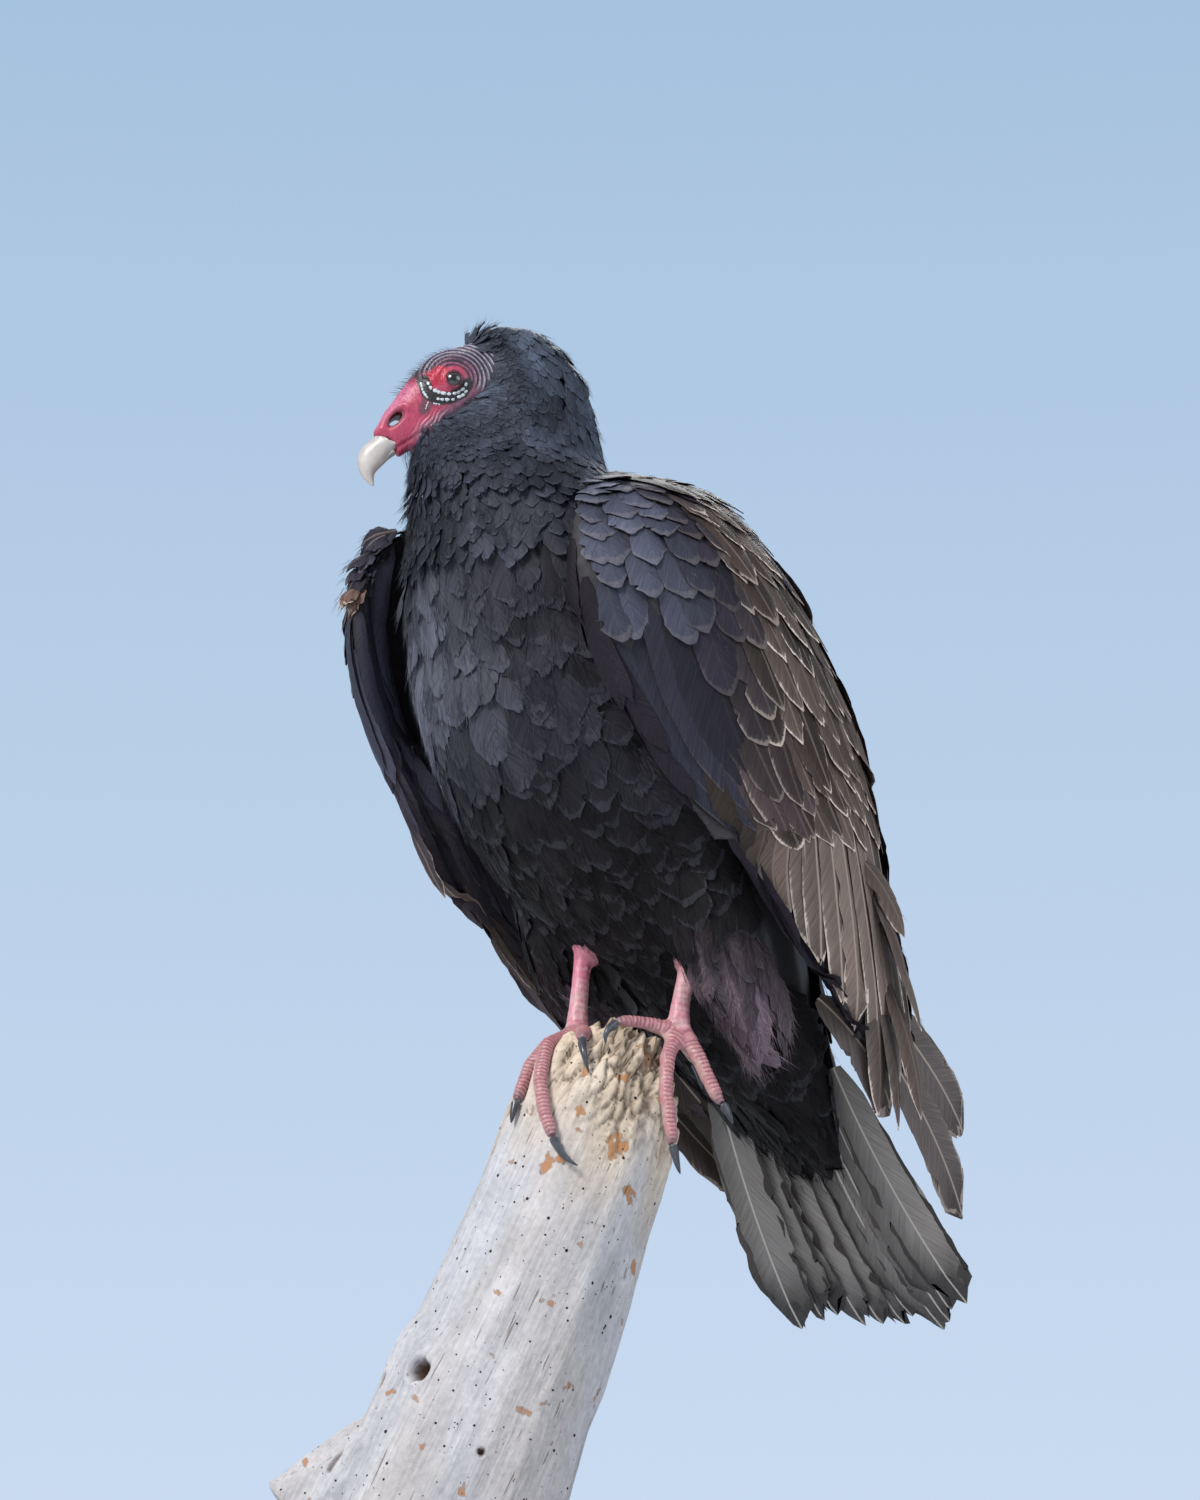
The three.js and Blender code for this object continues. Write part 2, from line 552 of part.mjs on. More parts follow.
for (let i = 0; i < TAIL_FEATHERS; i++) {
  addNode("tail_feather_" + (i + 1), cut(tailFeather(i, {}), seatOfTrunk), tailGrey);
}
addNode("perch", cut(perchShape(), seatsOfFeet), bleachedWood);
addNode("stand_base", solidOf(baseShape()), standBlack);
addNode("stand_rod_1", solidOf(rodShape(-1)), steel);
addNode("stand_rod_2", solidOf(rodShape(1)), steel);

const group = new THREE.Group();
group.add(bird);
export default group;
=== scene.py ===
import json
import math

import bmesh
import bpy
import numpy as np
from mathutils import Matrix, Vector, noise
from mathutils.bvhtree import BVHTree

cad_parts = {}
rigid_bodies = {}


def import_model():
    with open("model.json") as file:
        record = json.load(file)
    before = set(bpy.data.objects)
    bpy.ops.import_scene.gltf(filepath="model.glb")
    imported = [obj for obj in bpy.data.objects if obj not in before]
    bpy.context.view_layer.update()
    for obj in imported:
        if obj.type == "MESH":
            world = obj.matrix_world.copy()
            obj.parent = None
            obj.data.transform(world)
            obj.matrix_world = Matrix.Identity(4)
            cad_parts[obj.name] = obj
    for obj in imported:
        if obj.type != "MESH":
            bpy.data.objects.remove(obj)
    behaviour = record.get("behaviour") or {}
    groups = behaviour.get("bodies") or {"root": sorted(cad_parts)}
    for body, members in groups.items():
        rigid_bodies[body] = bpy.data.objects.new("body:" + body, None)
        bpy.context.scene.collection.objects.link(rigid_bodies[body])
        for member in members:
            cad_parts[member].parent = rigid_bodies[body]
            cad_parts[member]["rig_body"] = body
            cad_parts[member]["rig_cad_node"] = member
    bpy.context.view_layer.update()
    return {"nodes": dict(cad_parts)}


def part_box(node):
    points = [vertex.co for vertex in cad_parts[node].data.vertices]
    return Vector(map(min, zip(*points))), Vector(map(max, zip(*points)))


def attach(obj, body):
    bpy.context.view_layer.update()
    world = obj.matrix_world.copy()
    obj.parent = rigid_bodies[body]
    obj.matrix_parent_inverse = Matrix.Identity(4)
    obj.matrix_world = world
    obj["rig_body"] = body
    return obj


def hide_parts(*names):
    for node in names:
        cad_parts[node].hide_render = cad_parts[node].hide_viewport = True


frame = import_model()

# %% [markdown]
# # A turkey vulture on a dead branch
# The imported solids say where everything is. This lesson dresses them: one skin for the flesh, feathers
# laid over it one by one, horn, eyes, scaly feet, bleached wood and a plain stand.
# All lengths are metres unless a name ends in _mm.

MM = 0.001
SIDES = ("left", "right")
SIGNS = (("left", 1), ("right", -1))
TOES = ("middle", "outer", "inner", "hind")

# %% [markdown]
# ## Helpers for taking a copy of a solid
# A solid from the frame is never changed. Where a piece needs its shape, a copy is merged, joined with
# its neighbours and remeshed into one even net, which can then be smoothed and shaped.


# %% Copy, join, remesh
def deselect_all():
    if bpy.context.object and bpy.context.object.mode != "OBJECT":
        bpy.ops.object.mode_set(mode="OBJECT")
    bpy.ops.object.select_all(action="DESELECT")


def select_only(piece):
    deselect_all()
    piece.select_set(True)
    bpy.context.view_layer.objects.active = piece


def copy_of(nodes, name):
    """One joined copy of some solids, with their doubled corners merged."""
    deselect_all()
    copies = []
    for node in nodes:
        copy = frame["nodes"][node].copy()
        copy.data = copy.data.copy()
        copy.parent = None
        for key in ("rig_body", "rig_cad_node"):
            if key in copy:
                del copy[key]
        bpy.context.scene.collection.objects.link(copy)
        copy.hide_viewport = copy.hide_render = False
        copy.hide_set(False)
        copy.select_set(True)
        copies.append(copy)
    bpy.context.view_layer.objects.active = copies[0]
    if len(copies) > 1:
        bpy.ops.object.join()
    piece = bpy.context.object
    piece.name = piece.data.name = name
    piece.data.materials.clear()
    bpy.ops.object.mode_set(mode="EDIT")
    bpy.ops.mesh.select_all(action="SELECT")
    bpy.ops.mesh.remove_doubles(threshold=0.00002)
    bpy.ops.mesh.normals_make_consistent(inside=False)
    bpy.ops.object.mode_set(mode="OBJECT")
    return piece


def apply_modifier(piece, kind, **settings):
    select_only(piece)
    modifier = piece.modifiers.new(kind.title(), kind)
    for key, value in settings.items():
        setattr(modifier, key, value)
    bpy.ops.object.modifier_apply(modifier=modifier.name)


def remesh(piece, voxel, smoothing):
    """An even net of squares over the piece, rounded off by a few rounds of smoothing."""
    apply_modifier(piece, "REMESH", mode="VOXEL", voxel_size=voxel)
    apply_modifier(piece, "SMOOTH", factor=0.5, iterations=smoothing)


def points_of(piece, what="co"):
    flat = np.empty(len(piece.data.vertices) * 3, np.float32)
    piece.data.vertices.foreach_get(what, flat)
    return flat.reshape(-1, 3).astype(float)


def normals_of(piece):
    return points_of(piece, "normal")


def set_points(piece, points):
    piece.data.vertices.foreach_set("co", points.astype(np.float32).ravel())
    piece.data.update()


def tree_of(piece):
    corners = [v.co for v in piece.data.vertices]
    return BVHTree.FromPolygons(corners, [tuple(p.vertices) for p in piece.data.polygons])


def solid_tree(*nodes):
    solid = copy_of(nodes, "solid")
    tree = tree_of(solid)
    bpy.data.objects.remove(solid)
    return tree


def distances(tree, points):
    return np.array([tree.find_nearest(Vector(p))[3] for p in points])


def smoothstep(low, high, value):
    t = np.clip((value - low) / (high - low), 0, 1)
    return t * t * (3 - 2 * t)


def ease(low, high, value):
    return float(smoothstep(low, high, value))


def mixed(first, second, share):
    return np.array(first) * (1 - share) + np.array(second) * share


def columns_of(rows):
    """Turns a list of rows into one array for each column."""
    return [np.array(column) for column in zip(*rows)]


def unit(vectors):
    return vectors / np.maximum(np.linalg.norm(vectors, axis=-1, keepdims=True), 1e-9)


def middle_of(node):
    low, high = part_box(node)
    return (low + high) / 2


def along_line(points, line):
    """For each point: its distance from a line of marks, how far along the line that is, and the place on
    the line. Last comes the line's own length."""
    best = np.full(len(points), 1e3)
    reach, centre, passed = np.zeros(len(points)), np.zeros_like(points), 0.0
    for start, end in zip(np.array(line, float), np.array(line[1:], float)):
        run = end - start
        size = np.linalg.norm(run)
        share = np.clip((points - start) @ run / size**2, 0, 1)
        near = start + share[:, None] * run
        gap = np.linalg.norm(points - near, axis=1)
        closer = gap < best
        best = np.where(closer, gap, best)
        reach = np.where(closer, passed + share * size, reach)
        centre = np.where(closer[:, None], near, centre)
        passed += size
    return best, reach, centre, passed


def place_piece(name, mesh):
    piece = bpy.data.objects.new(name, mesh)
    bpy.context.scene.collection.objects.link(piece)
    return piece


def dress(piece, slot, *replaced, crease=None):
    """Smooths a finished piece's shading, attaches it to the root body and hides the solids it replaces. The
    slot is not used.
    """
    select_only(piece)
    if crease is None:
        bpy.ops.object.shade_smooth()
    else:
        bpy.ops.object.shade_smooth_by_angle(angle=math.radians(crease))
    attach(piece, "root")
    if replaced:
        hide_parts(*replaced)
    print(piece.name, len(piece.data.polygons), "faces")


# %% [markdown]
# ## Shared effects for materials
# Each effect that several finishes use is a node group, built once. "Mottle" breaks a colour up with soft
# noise, and its height can feed a Bump node. Small helpers keep the wiring of the nodes readable.

# %% Node helpers and groups
def node_in(tree, kind, **values):
    node = tree.nodes.new(kind)
    for key, value in values.items():
        setattr(node, key, value)
    return node


def wire(tree, start, end):
    tree.links.new(start, end)


def new_group(name, inputs, outputs):
    group = bpy.data.node_groups.new(name, "ShaderNodeTree")
    for label, kind, default in inputs:
        socket = group.interface.new_socket(label, in_out="INPUT", socket_type=kind)
        socket.default_value = default
    for label, kind in outputs:
        group.interface.new_socket(label, in_out="OUTPUT", socket_type=kind)
    return group, group.nodes.new("NodeGroupInput"), group.nodes.new("NodeGroupOutput")


def feed(tree, socket, value):
    """Gives a socket a number, a colour or another node's output."""
    if isinstance(value, (int, float)):
        socket.default_value = value
    elif isinstance(value, tuple):
        socket.default_value = (*value, 1)
    else:
        wire(tree, value, socket)


def math_node(tree, operation, first, second=0.0):
    node = node_in(tree, "ShaderNodeMath", operation=operation)
    feed(tree, node.inputs[0], first)
    feed(tree, node.inputs[1], second)
    return node.outputs[0]


def product(tree, first, second):
    return math_node(tree, "MULTIPLY", first, second)


def centred(tree, value, strength=1.0):
    """A noise of 0 to 1, turned into a swing round 0."""
    swing = math_node(tree, "SUBTRACT", value, 0.5)
    return swing if strength == 1.0 else product(tree, swing, strength)


def mix_colour(tree, share, first, second, blend="MIX"):
    node = node_in(tree, "ShaderNodeMix", data_type="RGBA", blend_type=blend)
    for k, value in ((0, share), (6, first), (7, second)):
        feed(tree, node.inputs[k], value)
    return node.outputs[2]


def shaded(tree, colour, level):
    """A colour made lighter or darker by a level round 1."""
    grey = node_in(tree, "ShaderNodeCombineColor")
    for channel in grey.inputs:
        wire(tree, level, channel)
    return mix_colour(tree, 1.0, colour, grey.outputs[0], "MULTIPLY")


def soft_step(tree, low, high, value):
    node = node_in(tree, "ShaderNodeMapRange", interpolation_type="SMOOTHSTEP")
    node.inputs["From Min"].default_value = low
    node.inputs["From Max"].default_value = high
    wire(tree, value, node.inputs["Value"])
    return node.outputs[0]


def noise_node(tree, scale, detail, place=None):
    node = node_in(tree, "ShaderNodeTexNoise")
    feed(tree, node.inputs["Scale"], scale)
    node.inputs["Detail"].default_value = detail
    wire(tree, place or own_place(tree), node.inputs["Vector"])
    return node.outputs["Fac"]


def own_place(tree):
    return node_in(tree, "ShaderNodeTexCoord").outputs["Object"]


def first_channel(tree, colour):
    split = node_in(tree, "ShaderNodeSeparateColor")
    wire(tree, colour, split.inputs[0])
    return split.outputs[0]


mottle, m_in, m_out = new_group(
    "mottle",
    [("Color", "NodeSocketColor", (0.5, 0.5, 0.5, 1)), ("Scale", "NodeSocketFloat", 60.0),
     ("Strength", "NodeSocketFloat", 0.3)],
    [("Color", "NodeSocketColor"), ("Height", "NodeSocketFloat")],
)
m_noise = noise_node(mottle, m_in.outputs["Scale"], 5)
m_swing = product(mottle, centred(mottle, m_noise), m_in.outputs["Strength"])
m_level = math_node(mottle, "ADD", product(mottle, m_swing, 4.0), 1.0)
wire(mottle, shaded(mottle, m_in.outputs["Color"], m_level), m_out.inputs["Color"])
wire(mottle, m_noise, m_out.inputs["Height"])


def use_group(tree, group, **values):
    node = node_in(tree, "ShaderNodeGroup", node_tree=group)
    for label, value in values.items():
        feed(tree, node.inputs[label], value)
    return node.outputs


def start_material(name, roughness, **sockets):
    """A Principled material and its tree, with plain values on the shader's own sockets."""
    material = bpy.data.materials.new(name)
    material.use_nodes = True
    shader = material.node_tree.nodes["Principled BSDF"]
    shader.inputs["Roughness"].default_value = roughness
    for label, value in sockets.items():
        shader.inputs[label.replace("_", " ")].default_value = value
    return material, material.node_tree, shader


def add_bump(tree, shader, height, distance, strength=1.0):
    bump = node_in(tree, "ShaderNodeBump")
    bump.inputs["Strength"].default_value = strength
    bump.inputs["Distance"].default_value = distance
    wire(tree, height, bump.inputs["Height"])
    wire(tree, bump.outputs["Normal"], shader.inputs["Normal"])


def attribute(tree, name):
    return node_in(tree, "ShaderNodeAttribute", attribute_name=name).outputs["Color"]


def mottled_material(name, roughness, colour, scale, strength, bump=None, **sockets):
    """A material whose colour is mottled, and whose relief follows the mottling."""
    material, tree, shader = start_material(name, roughness, **sockets)
    if isinstance(colour, str):
        colour = attribute(tree, colour)
    outputs = use_group(tree, mottle, Color=colour, Scale=scale, Strength=strength)
    wire(tree, outputs["Color"], shader.inputs["Base Color"])
    if bump:
        add_bump(tree, shader, outputs["Height"], *bump)
    return material, tree, shader


# %% [markdown]
# ## Camera, floor and light
# The bird is seen from its front left and from a little below, so the camera stands just above the floor
# and looks up. The frame is the bird and the top of the branch: the stand is below its lower edge.

# %% Camera
VIEW_TARGET = Vector((0.0539, -0.0036, 0.5645))
VIEW_AZIMUTH = math.radians(45)
VIEW_RISE = math.radians(-12)
VIEW_DISTANCE = 2.6
FRAME_HEIGHT = 0.855  # of the plane through the target

back = Vector((
    math.sin(VIEW_AZIMUTH) * math.cos(VIEW_RISE),
    -math.cos(VIEW_AZIMUTH) * math.cos(VIEW_RISE),
    math.sin(VIEW_RISE),
))
camera_data = bpy.data.cameras.new("camera")
camera_data.sensor_fit = "VERTICAL"
camera_data.sensor_height = 36
camera_data.sensor_width = 36
camera_data.lens = 36 * VIEW_DISTANCE / FRAME_HEIGHT


def look_from(thing, place):
    """Puts a camera or a light at a place, facing the model."""
    thing.location = place
    thing.rotation_mode = "QUATERNION"
    thing.rotation_quaternion = (VIEW_TARGET - Vector(place)).to_track_quat("-Z", "Y")


camera = place_piece("camera", camera_data)
look_from(camera, VIEW_TARGET + back * VIEW_DISTANCE)
bpy.context.scene.camera = camera
bpy.context.scene.view_settings.view_transform = "Standard"
print("camera", [round(c, 3) for c in camera.location])

# %% Floor and lights
FLOOR_RADIUS = 14


def area_light(name, place, size, power, colour):
    data = bpy.data.lights.new(name, "AREA")
    data.shape = "DISK"
    data.size = size
    data.energy = power
    data.color = colour
    look_from(place_piece(name, data), place)


deselect_all()
bpy.ops.mesh.primitive_circle_add(vertices=96, radius=FLOOR_RADIUS, fill_type="NGON", location=(0, 0, 0))
floor = bpy.context.object
floor.name = "floor"
pale, tree, shader = start_material("floor_pale", 0.9)
shader.inputs["Base Color"].default_value = (0.6, 0.61, 0.63, 1)
floor.data.materials.append(pale)

BACKDROP_LOW = (0.60, 0.72, 0.89)
BACKDROP_HIGH = (0.35, 0.51, 0.71)
SOFT_LIGHT = (0.42, 0.47, 0.54)

world = bpy.data.worlds.new("studio")
bpy.context.scene.world = world
world.use_nodes = True
studio = world.node_tree
height = node_in(studio, "ShaderNodeSeparateXYZ")
wire(studio, node_in(studio, "ShaderNodeTexCoord").outputs["Generated"], height.inputs[0])
rise = node_in(studio, "ShaderNodeMapRange")
rise.inputs["From Min"].default_value = 0.02
rise.inputs["From Max"].default_value = 0.42
wire(studio, height.outputs["Z"], rise.inputs["Value"])
backdrop = mix_colour(studio, rise.outputs[0], BACKDROP_LOW, BACKDROP_HIGH)
seen = node_in(studio, "ShaderNodeLightPath").outputs["Is Camera Ray"]
wire(studio, mix_colour(studio, seen, SOFT_LIGHT, backdrop), studio.nodes["Background"].inputs["Color"])
area_light("key", (0.3, -2.7, 2.5), 1.2, 115, (1, 0.97, 0.94))
area_light("fill", (2.6, 0.4, 1.5), 2.0, 24, (0.94, 0.97, 1))
area_light("rim", (-1.2, 1.8, 2.4), 1.4, 45, (0.96, 0.98, 1))

# %% [markdown]
# ## One skin
# On a bird the skin runs unbroken from bill to claws, and the feathers stand in it. So the flesh solids
# are joined and remeshed as one net, and the net is then sunk by the depth of the feather coat: nothing
# on the bare face, legs and toes, and several millimetres under the plumage. A remesh is used and not a
# Boolean union, because it also rounds the facets and leaves no seam where two solids meet. The eyeballs
# are joined in as well, to give the lids a dome to lie on.

# %% Join the flesh and sink it under the coat
FLESH = ["head", "neck", "trunk"]
FLESH += [part + "_" + side for side in SIDES for part in ("thigh", "tarsus")]
FLESH += ["toe_" + toe + "_" + side for side in SIDES for toe in TOES]
BARE = ["head"] + [node for node in FLESH if node.startswith(("tarsus", "toe"))]
SKIN_NET = 0.0025
COAT_DEPTH = 0.008  # from the skin to the outside of the feathers

bare_tree = solid_tree(*BARE)
head_tree = solid_tree("head")

skin = copy_of(FLESH + ["eye_left", "eye_right"], "skin")
remesh(skin, SKIN_NET, 7)
skin_points = points_of(skin)
to_bare = distances(bare_tree, skin_points)
sink = COAT_DEPTH * smoothstep(0.0015, 0.012, to_bare)
set_points(skin, skin_points - normals_of(skin) * sink[:, None])
print("skin", len(skin.data.polygons), "faces")


# %% [markdown]
# ## The head's own frame
# The head is turned and bowed, so its details are placed in its own directions: across to the bird's
# left, forward along the bill, and up. The eyes' solids give the point between them and the turn.

# %% Head frame
HEAD_BOW = math.radians(39)
eye_centres = {side: middle_of("eye_" + side) for side in SIDES}
between_eyes = (eye_centres["left"] + eye_centres["right"]) / 2
eye_line = eye_centres["left"] - eye_centres["right"]
eye_low, eye_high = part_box("eye_left")
EYE_RADIUS_MM = (eye_high.z - eye_low.z) / 2 / MM
head_turn = math.atan2(eye_line.y, eye_line.x)
HEAD = (
    Matrix.Translation(between_eyes)
    @ Matrix.Rotation(head_turn, 4, "Z")
    @ Matrix.Rotation(HEAD_BOW, 4, "X")
)
head_axes = np.array(HEAD.to_3x3())
print("head turned", round(math.degrees(head_turn), 1), "eye radius", round(EYE_RADIUS_MM, 2))


def head_mm(points):
    """(across, forward, up) of points in the head's frame, in millimetres from between the eyes."""
    local = (np.asarray(points) - np.array(between_eyes)) @ head_axes / MM
    return local[:, 0], -local[:, 1], local[:, 2]


def from_head(across, forward, up):
    return HEAD @ Vector((across * MM, -forward * MM, up * MM))


def from_head_mm(across, forward, up):
    """The same for arrays."""
    local = np.stack([across, -forward, up], axis=1) * MM
    return np.array(between_eyes) + local @ head_axes.T


def near_line(forward, up, line):
    """Distance of each (forward, up) from a line of marks in the head's side view."""
    return along_line(np.stack([forward, up], axis=1), line)[0]


# %% [markdown]
# ## Sculpting the bare head
# The bare skin needs a finer net than the body. Under the feathers the net is thinned out, and the faces
# near the head and feet are subdivided. The folds, lids, cere and gape are then pushed in or out along the
# surface, as a sculptor's brush would.

# %% Refine the net of the bare parts
COVERED_FROM = 0.022  # this far from the bare parts the feathers hide the skin


def refine(piece, wanted, cuts=1):
    """Subdivides the faces whose corners are all wanted."""
    net = bmesh.new()
    net.from_mesh(piece.data)
    net.verts.ensure_lookup_table()
    edges = {e for face in net.faces if all(wanted[v.index] for v in face.verts) for e in face.edges}
    bmesh.ops.subdivide_edges(net, edges=list(edges), cuts=cuts, use_grid_fill=True, smooth=0.0)
    net.to_mesh(piece.data)
    net.free()
    piece.data.update()


covered = skin.vertex_groups.new(name="covered")
for k in np.flatnonzero(distances(bare_tree, points_of(skin)) > COVERED_FROM):
    covered.add([int(k)], 1.0, "REPLACE")
apply_modifier(skin, "DECIMATE", ratio=0.25, vertex_group="covered", vertex_group_factor=1.0)
for _ in range(2):
    refine(skin, distances(head_tree, points_of(skin)) < 0.004)
foot_top = max(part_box("tarsus_" + side)[1].z for side in SIDES)
foot_low = min(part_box("tarsus_" + side)[0].z for side in SIDES)
for _ in range(2):
    scaly = (distances(bare_tree, points_of(skin)) < 0.003) & (points_of(skin)[:, 2] < foot_top)
    refine(skin, scaly)
apply_modifier(skin, "SMOOTH", factor=0.5, iterations=2)
print("refined skin", len(skin.data.polygons), "faces")

# %% Folds, cere, gape and lids
LID_OPENING = math.radians(41)
LID_LIFT_MM = 0.9
FOLD_SPACING_MM = 2.5
MOUTH_LINE = [(52, -9.5), (40, -11), (28, -12.5)]
PLATE_ARC = [(13.7, 11), (16.5, 3), (13.5, -3.5), (7.5, -7.5), (0.7, -9), (-4.5, -7)]
NOSTRIL_AT = (38.5, 3.6)  # forward and up
NOSTRIL_HALF = (4.9, 2.5)
NOSTRIL_TILT = math.radians(-10)


def nostril_reach(forward, up):
    """1 on the nostril's rim, less inside it, more outside."""
    ahead, over = forward - NOSTRIL_AT[0], up - NOSTRIL_AT[1]
    along = ahead * math.cos(NOSTRIL_TILT) + over * math.sin(NOSTRIL_TILT)
    across = over * math.cos(NOSTRIL_TILT) - ahead * math.sin(NOSTRIL_TILT)
    return np.hypot(along / NOSTRIL_HALF[0], across / NOSTRIL_HALF[1])


def fold_wave(forward, up):
    """The concentric folds behind and over the eye: how high each point stands, and where they are."""
    radius = np.hypot(forward, up)
    turn = np.degrees(np.arctan2(up, forward))
    off_back = np.abs((turn - 145 + 180) % 360 - 180)
    where = smoothstep(7.0, 8.5, radius) * (1 - smoothstep(27, 29, radius))
    where = where * (1 - smoothstep(78, 104, off_back))
    wobble = 0.9 * np.sin(np.radians(turn) * 3)
    wave = 0.5 + 0.5 * np.cos(2 * math.pi * radius / FOLD_SPACING_MM + wobble)
    return wave, where


def sculpt_head(piece):
    points, normals = points_of(piece), normals_of(piece)
    across, forward, up = head_mm(points)
    on_head = np.where(distances(head_tree, points) < 0.005, 1, 0)
    wave, where = fold_wave(forward, up)
    push = 0.85 * (wave - 0.4) * where
    push += 0.9 * np.exp(-(((nostril_reach(forward, up) - 1.9) / 0.4) ** 2)) * smoothstep(0, 3, up - 1)
    push -= 1.2 * (1 - smoothstep(1.0, 1.75, nostril_reach(forward, up)))
    push -= 0.8 * np.exp(-(near_line(forward, up, MOUTH_LINE) / 1.1) ** 2)
    push += 2.4 * np.exp(-(((forward - 51) / 4) ** 2) - ((up - 4) / 3.5) ** 2)
    push += 2.6 * np.exp(-(((forward - 50) / 4.5) ** 2) - ((up + 13.5) / 3) ** 2)
    push -= 1.6 * np.exp(-(((forward - 50.5) / 3.5) ** 2) - ((up + 5) / 3.5) ** 2)
    push -= 0.35 * np.exp(-(near_line(forward, up, PLATE_ARC) / 3.0) ** 4)
    push += 0.9 * np.exp(-(near_line(forward, up, [(-2, 9.5), (6, 9), (12, 6)]) / 1.6) ** 2)
    lore = np.exp(-(((forward - 8) / 7) ** 2) - ((up - 12) / 6) ** 2)
    push += 0.4 * lore * np.sin(forward * 2.4 + 1.7 * np.sin(up * 0.9))
    cheek = np.exp(-(((forward - 26) / 13) ** 2) - ((up + 11) / 5) ** 2)
    push += 0.3 * cheek * np.sin(up * 2.6 + forward * 0.9 + 1.4 * np.sin(forward * 0.6))
    points = points + normals * (push * on_head * MM)[:, None]
    for side, sign in SIGNS:
        centre = np.array(eye_centres[side])
        offset = (points - centre) / MM
        radius = np.linalg.norm(offset, axis=1)
        outward = offset @ head_axes[:, 0] * sign / np.maximum(radius, 1e-6)
        angle = np.arccos(np.clip(outward, -1, 1))
        rim = smoothstep(LID_OPENING + 0.09, LID_OPENING + 0.75, angle)
        lid = EYE_RADIUS_MM + LID_LIFT_MM + 0.25 * np.cos(angle * 24)
        wanted = lid * (1 - rim) + np.maximum(radius, lid) * rim
        wanted = np.where(angle < LID_OPENING, EYE_RADIUS_MM - 1.2, wanted)
        close = (radius < 13) & (angle < LID_OPENING + 0.75)
        moved = centre + offset * (wanted / np.maximum(radius, 1e-6))[:, None] * MM
        points = np.where(close[:, None], moved, points)
    set_points(piece, points)


sculpt_head(skin)

# %% [markdown]
# ## Scutes
# The toes carry a row of broad scutes across their tops, like the rings of a ladder, and the legs carry
# lower ones. Each toe's middle line is found from its solid, and the rings are counted along it.

# %% Scutes of the toes and legs
TOE_SCUTE_MM = 2.5
LEG_SCUTE_MM = 3.6


def centre_line(node, root, slices=9):
    """The middle of a long bent solid, as points from its root outwards."""
    solid = copy_of([node], "solid")
    remesh(solid, 0.002, 2)
    points = points_of(solid)
    bpy.data.objects.remove(solid)
    away = np.linalg.norm(points - np.array(root), axis=1)
    marks = np.linspace(away.min(), away.max(), slices + 1)
    line = [points[(away >= a) & (away <= b)].mean(axis=0) for a, b in zip(marks, marks[1:])]
    return np.array([line[0] * 1.5 - line[1] * 0.5, *line, line[-1] * 1.5 - line[-2] * 0.5])


limbs = []
for side in SIDES:
    ankle = middle_of("tarsus_" + side)
    ankle.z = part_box("tarsus_" + side)[0].z
    limbs.append(("tarsus_" + side, centre_line("tarsus_" + side, ankle, 5), LEG_SCUTE_MM))
    for toe in TOES:
        name = "toe_" + toe + "_" + side
        limbs.append((name, centre_line(name, ankle), TOE_SCUTE_MM))
limb_trees = {name: solid_tree(name) for name, _, _ in limbs}
grip = np.array(middle_of("perch"))
grip[2] = foot_low - 0.035


def scutes(points, normals):
    """For each point of the legs and toes: the scutes' wave, how far it faces outwards, how near it is
    to a toe's tip, whether it is on a toe, and the nearest place on its middle line."""
    wave, tip, on_toe = np.zeros(len(points)), np.zeros(len(points)), np.zeros(len(points))
    centre = points.copy()
    best = np.full(len(points), 0.003)
    low = np.flatnonzero((points[:, 2] < foot_top) & (distances(bare_tree, points) < 0.003))
    outward = np.sum(normals * unit(points - grip), axis=1)
    for name, line, step in limbs:
        gap = distances(limb_trees[name], points[low])
        mine = low[gap < best[low]]
        best[low] = np.minimum(best[low], gap)
        _, reach, middle, length = along_line(points[mine], line)
        wave[mine] = np.abs(np.sin(math.pi * reach / (step * MM)))
        on_toe[mine] = 1.0 if step == TOE_SCUTE_MM else 0.0
        tip[mine] = smoothstep(length - 0.010, length, reach) * on_toe[mine]
        centre[mine] = middle
    return wave, smoothstep(-0.25, 0.35, outward), tip, on_toe, centre


def sculpt_legs(piece):
    points, normals = points_of(piece), normals_of(piece)
    wave, top, tip, on_toe, centre = scutes(points, normals)
    on_limb = wave > 0
    push = (0.7 * on_toe + 0.22 * (1 - on_toe)) * (wave**0.5 - 0.7) * top * on_limb
    points = points + normals * (push * MM)[:, None]
    set_points(piece, points + (centre - points) * (0.22 * tip)[:, None])


sculpt_legs(skin)

# %% [markdown]
# ## Nostril
# A turkey vulture's nostrils have no wall between them, so light shows through the bill. A long oval
# tunnel is cut across the cere with a Boolean, after the sculpting, so that its rim stays crisp.

# %% Cut the nostril
deselect_all()
bpy.ops.mesh.primitive_cylinder_add(vertices=40, radius=1, depth=40 * MM)
tunnel = bpy.context.object
tunnel.data.transform(Matrix.Rotation(math.radians(90), 4, "Y"))
tunnel.data.transform(Matrix.Diagonal((1, NOSTRIL_HALF[0] * MM, NOSTRIL_HALF[1] * MM, 1)))
tunnel.data.transform(Matrix.Rotation(-NOSTRIL_TILT, 4, "X"))
tunnel.data.transform(Matrix.Translation((0, -NOSTRIL_AT[0] * MM, NOSTRIL_AT[1] * MM)))
tunnel.data.transform(HEAD)
apply_modifier(skin, "BOOLEAN", operation="DIFFERENCE", object=tunnel, solver="EXACT")
bpy.data.objects.remove(tunnel)
print("skin with nostril", len(skin.data.polygons), "faces")
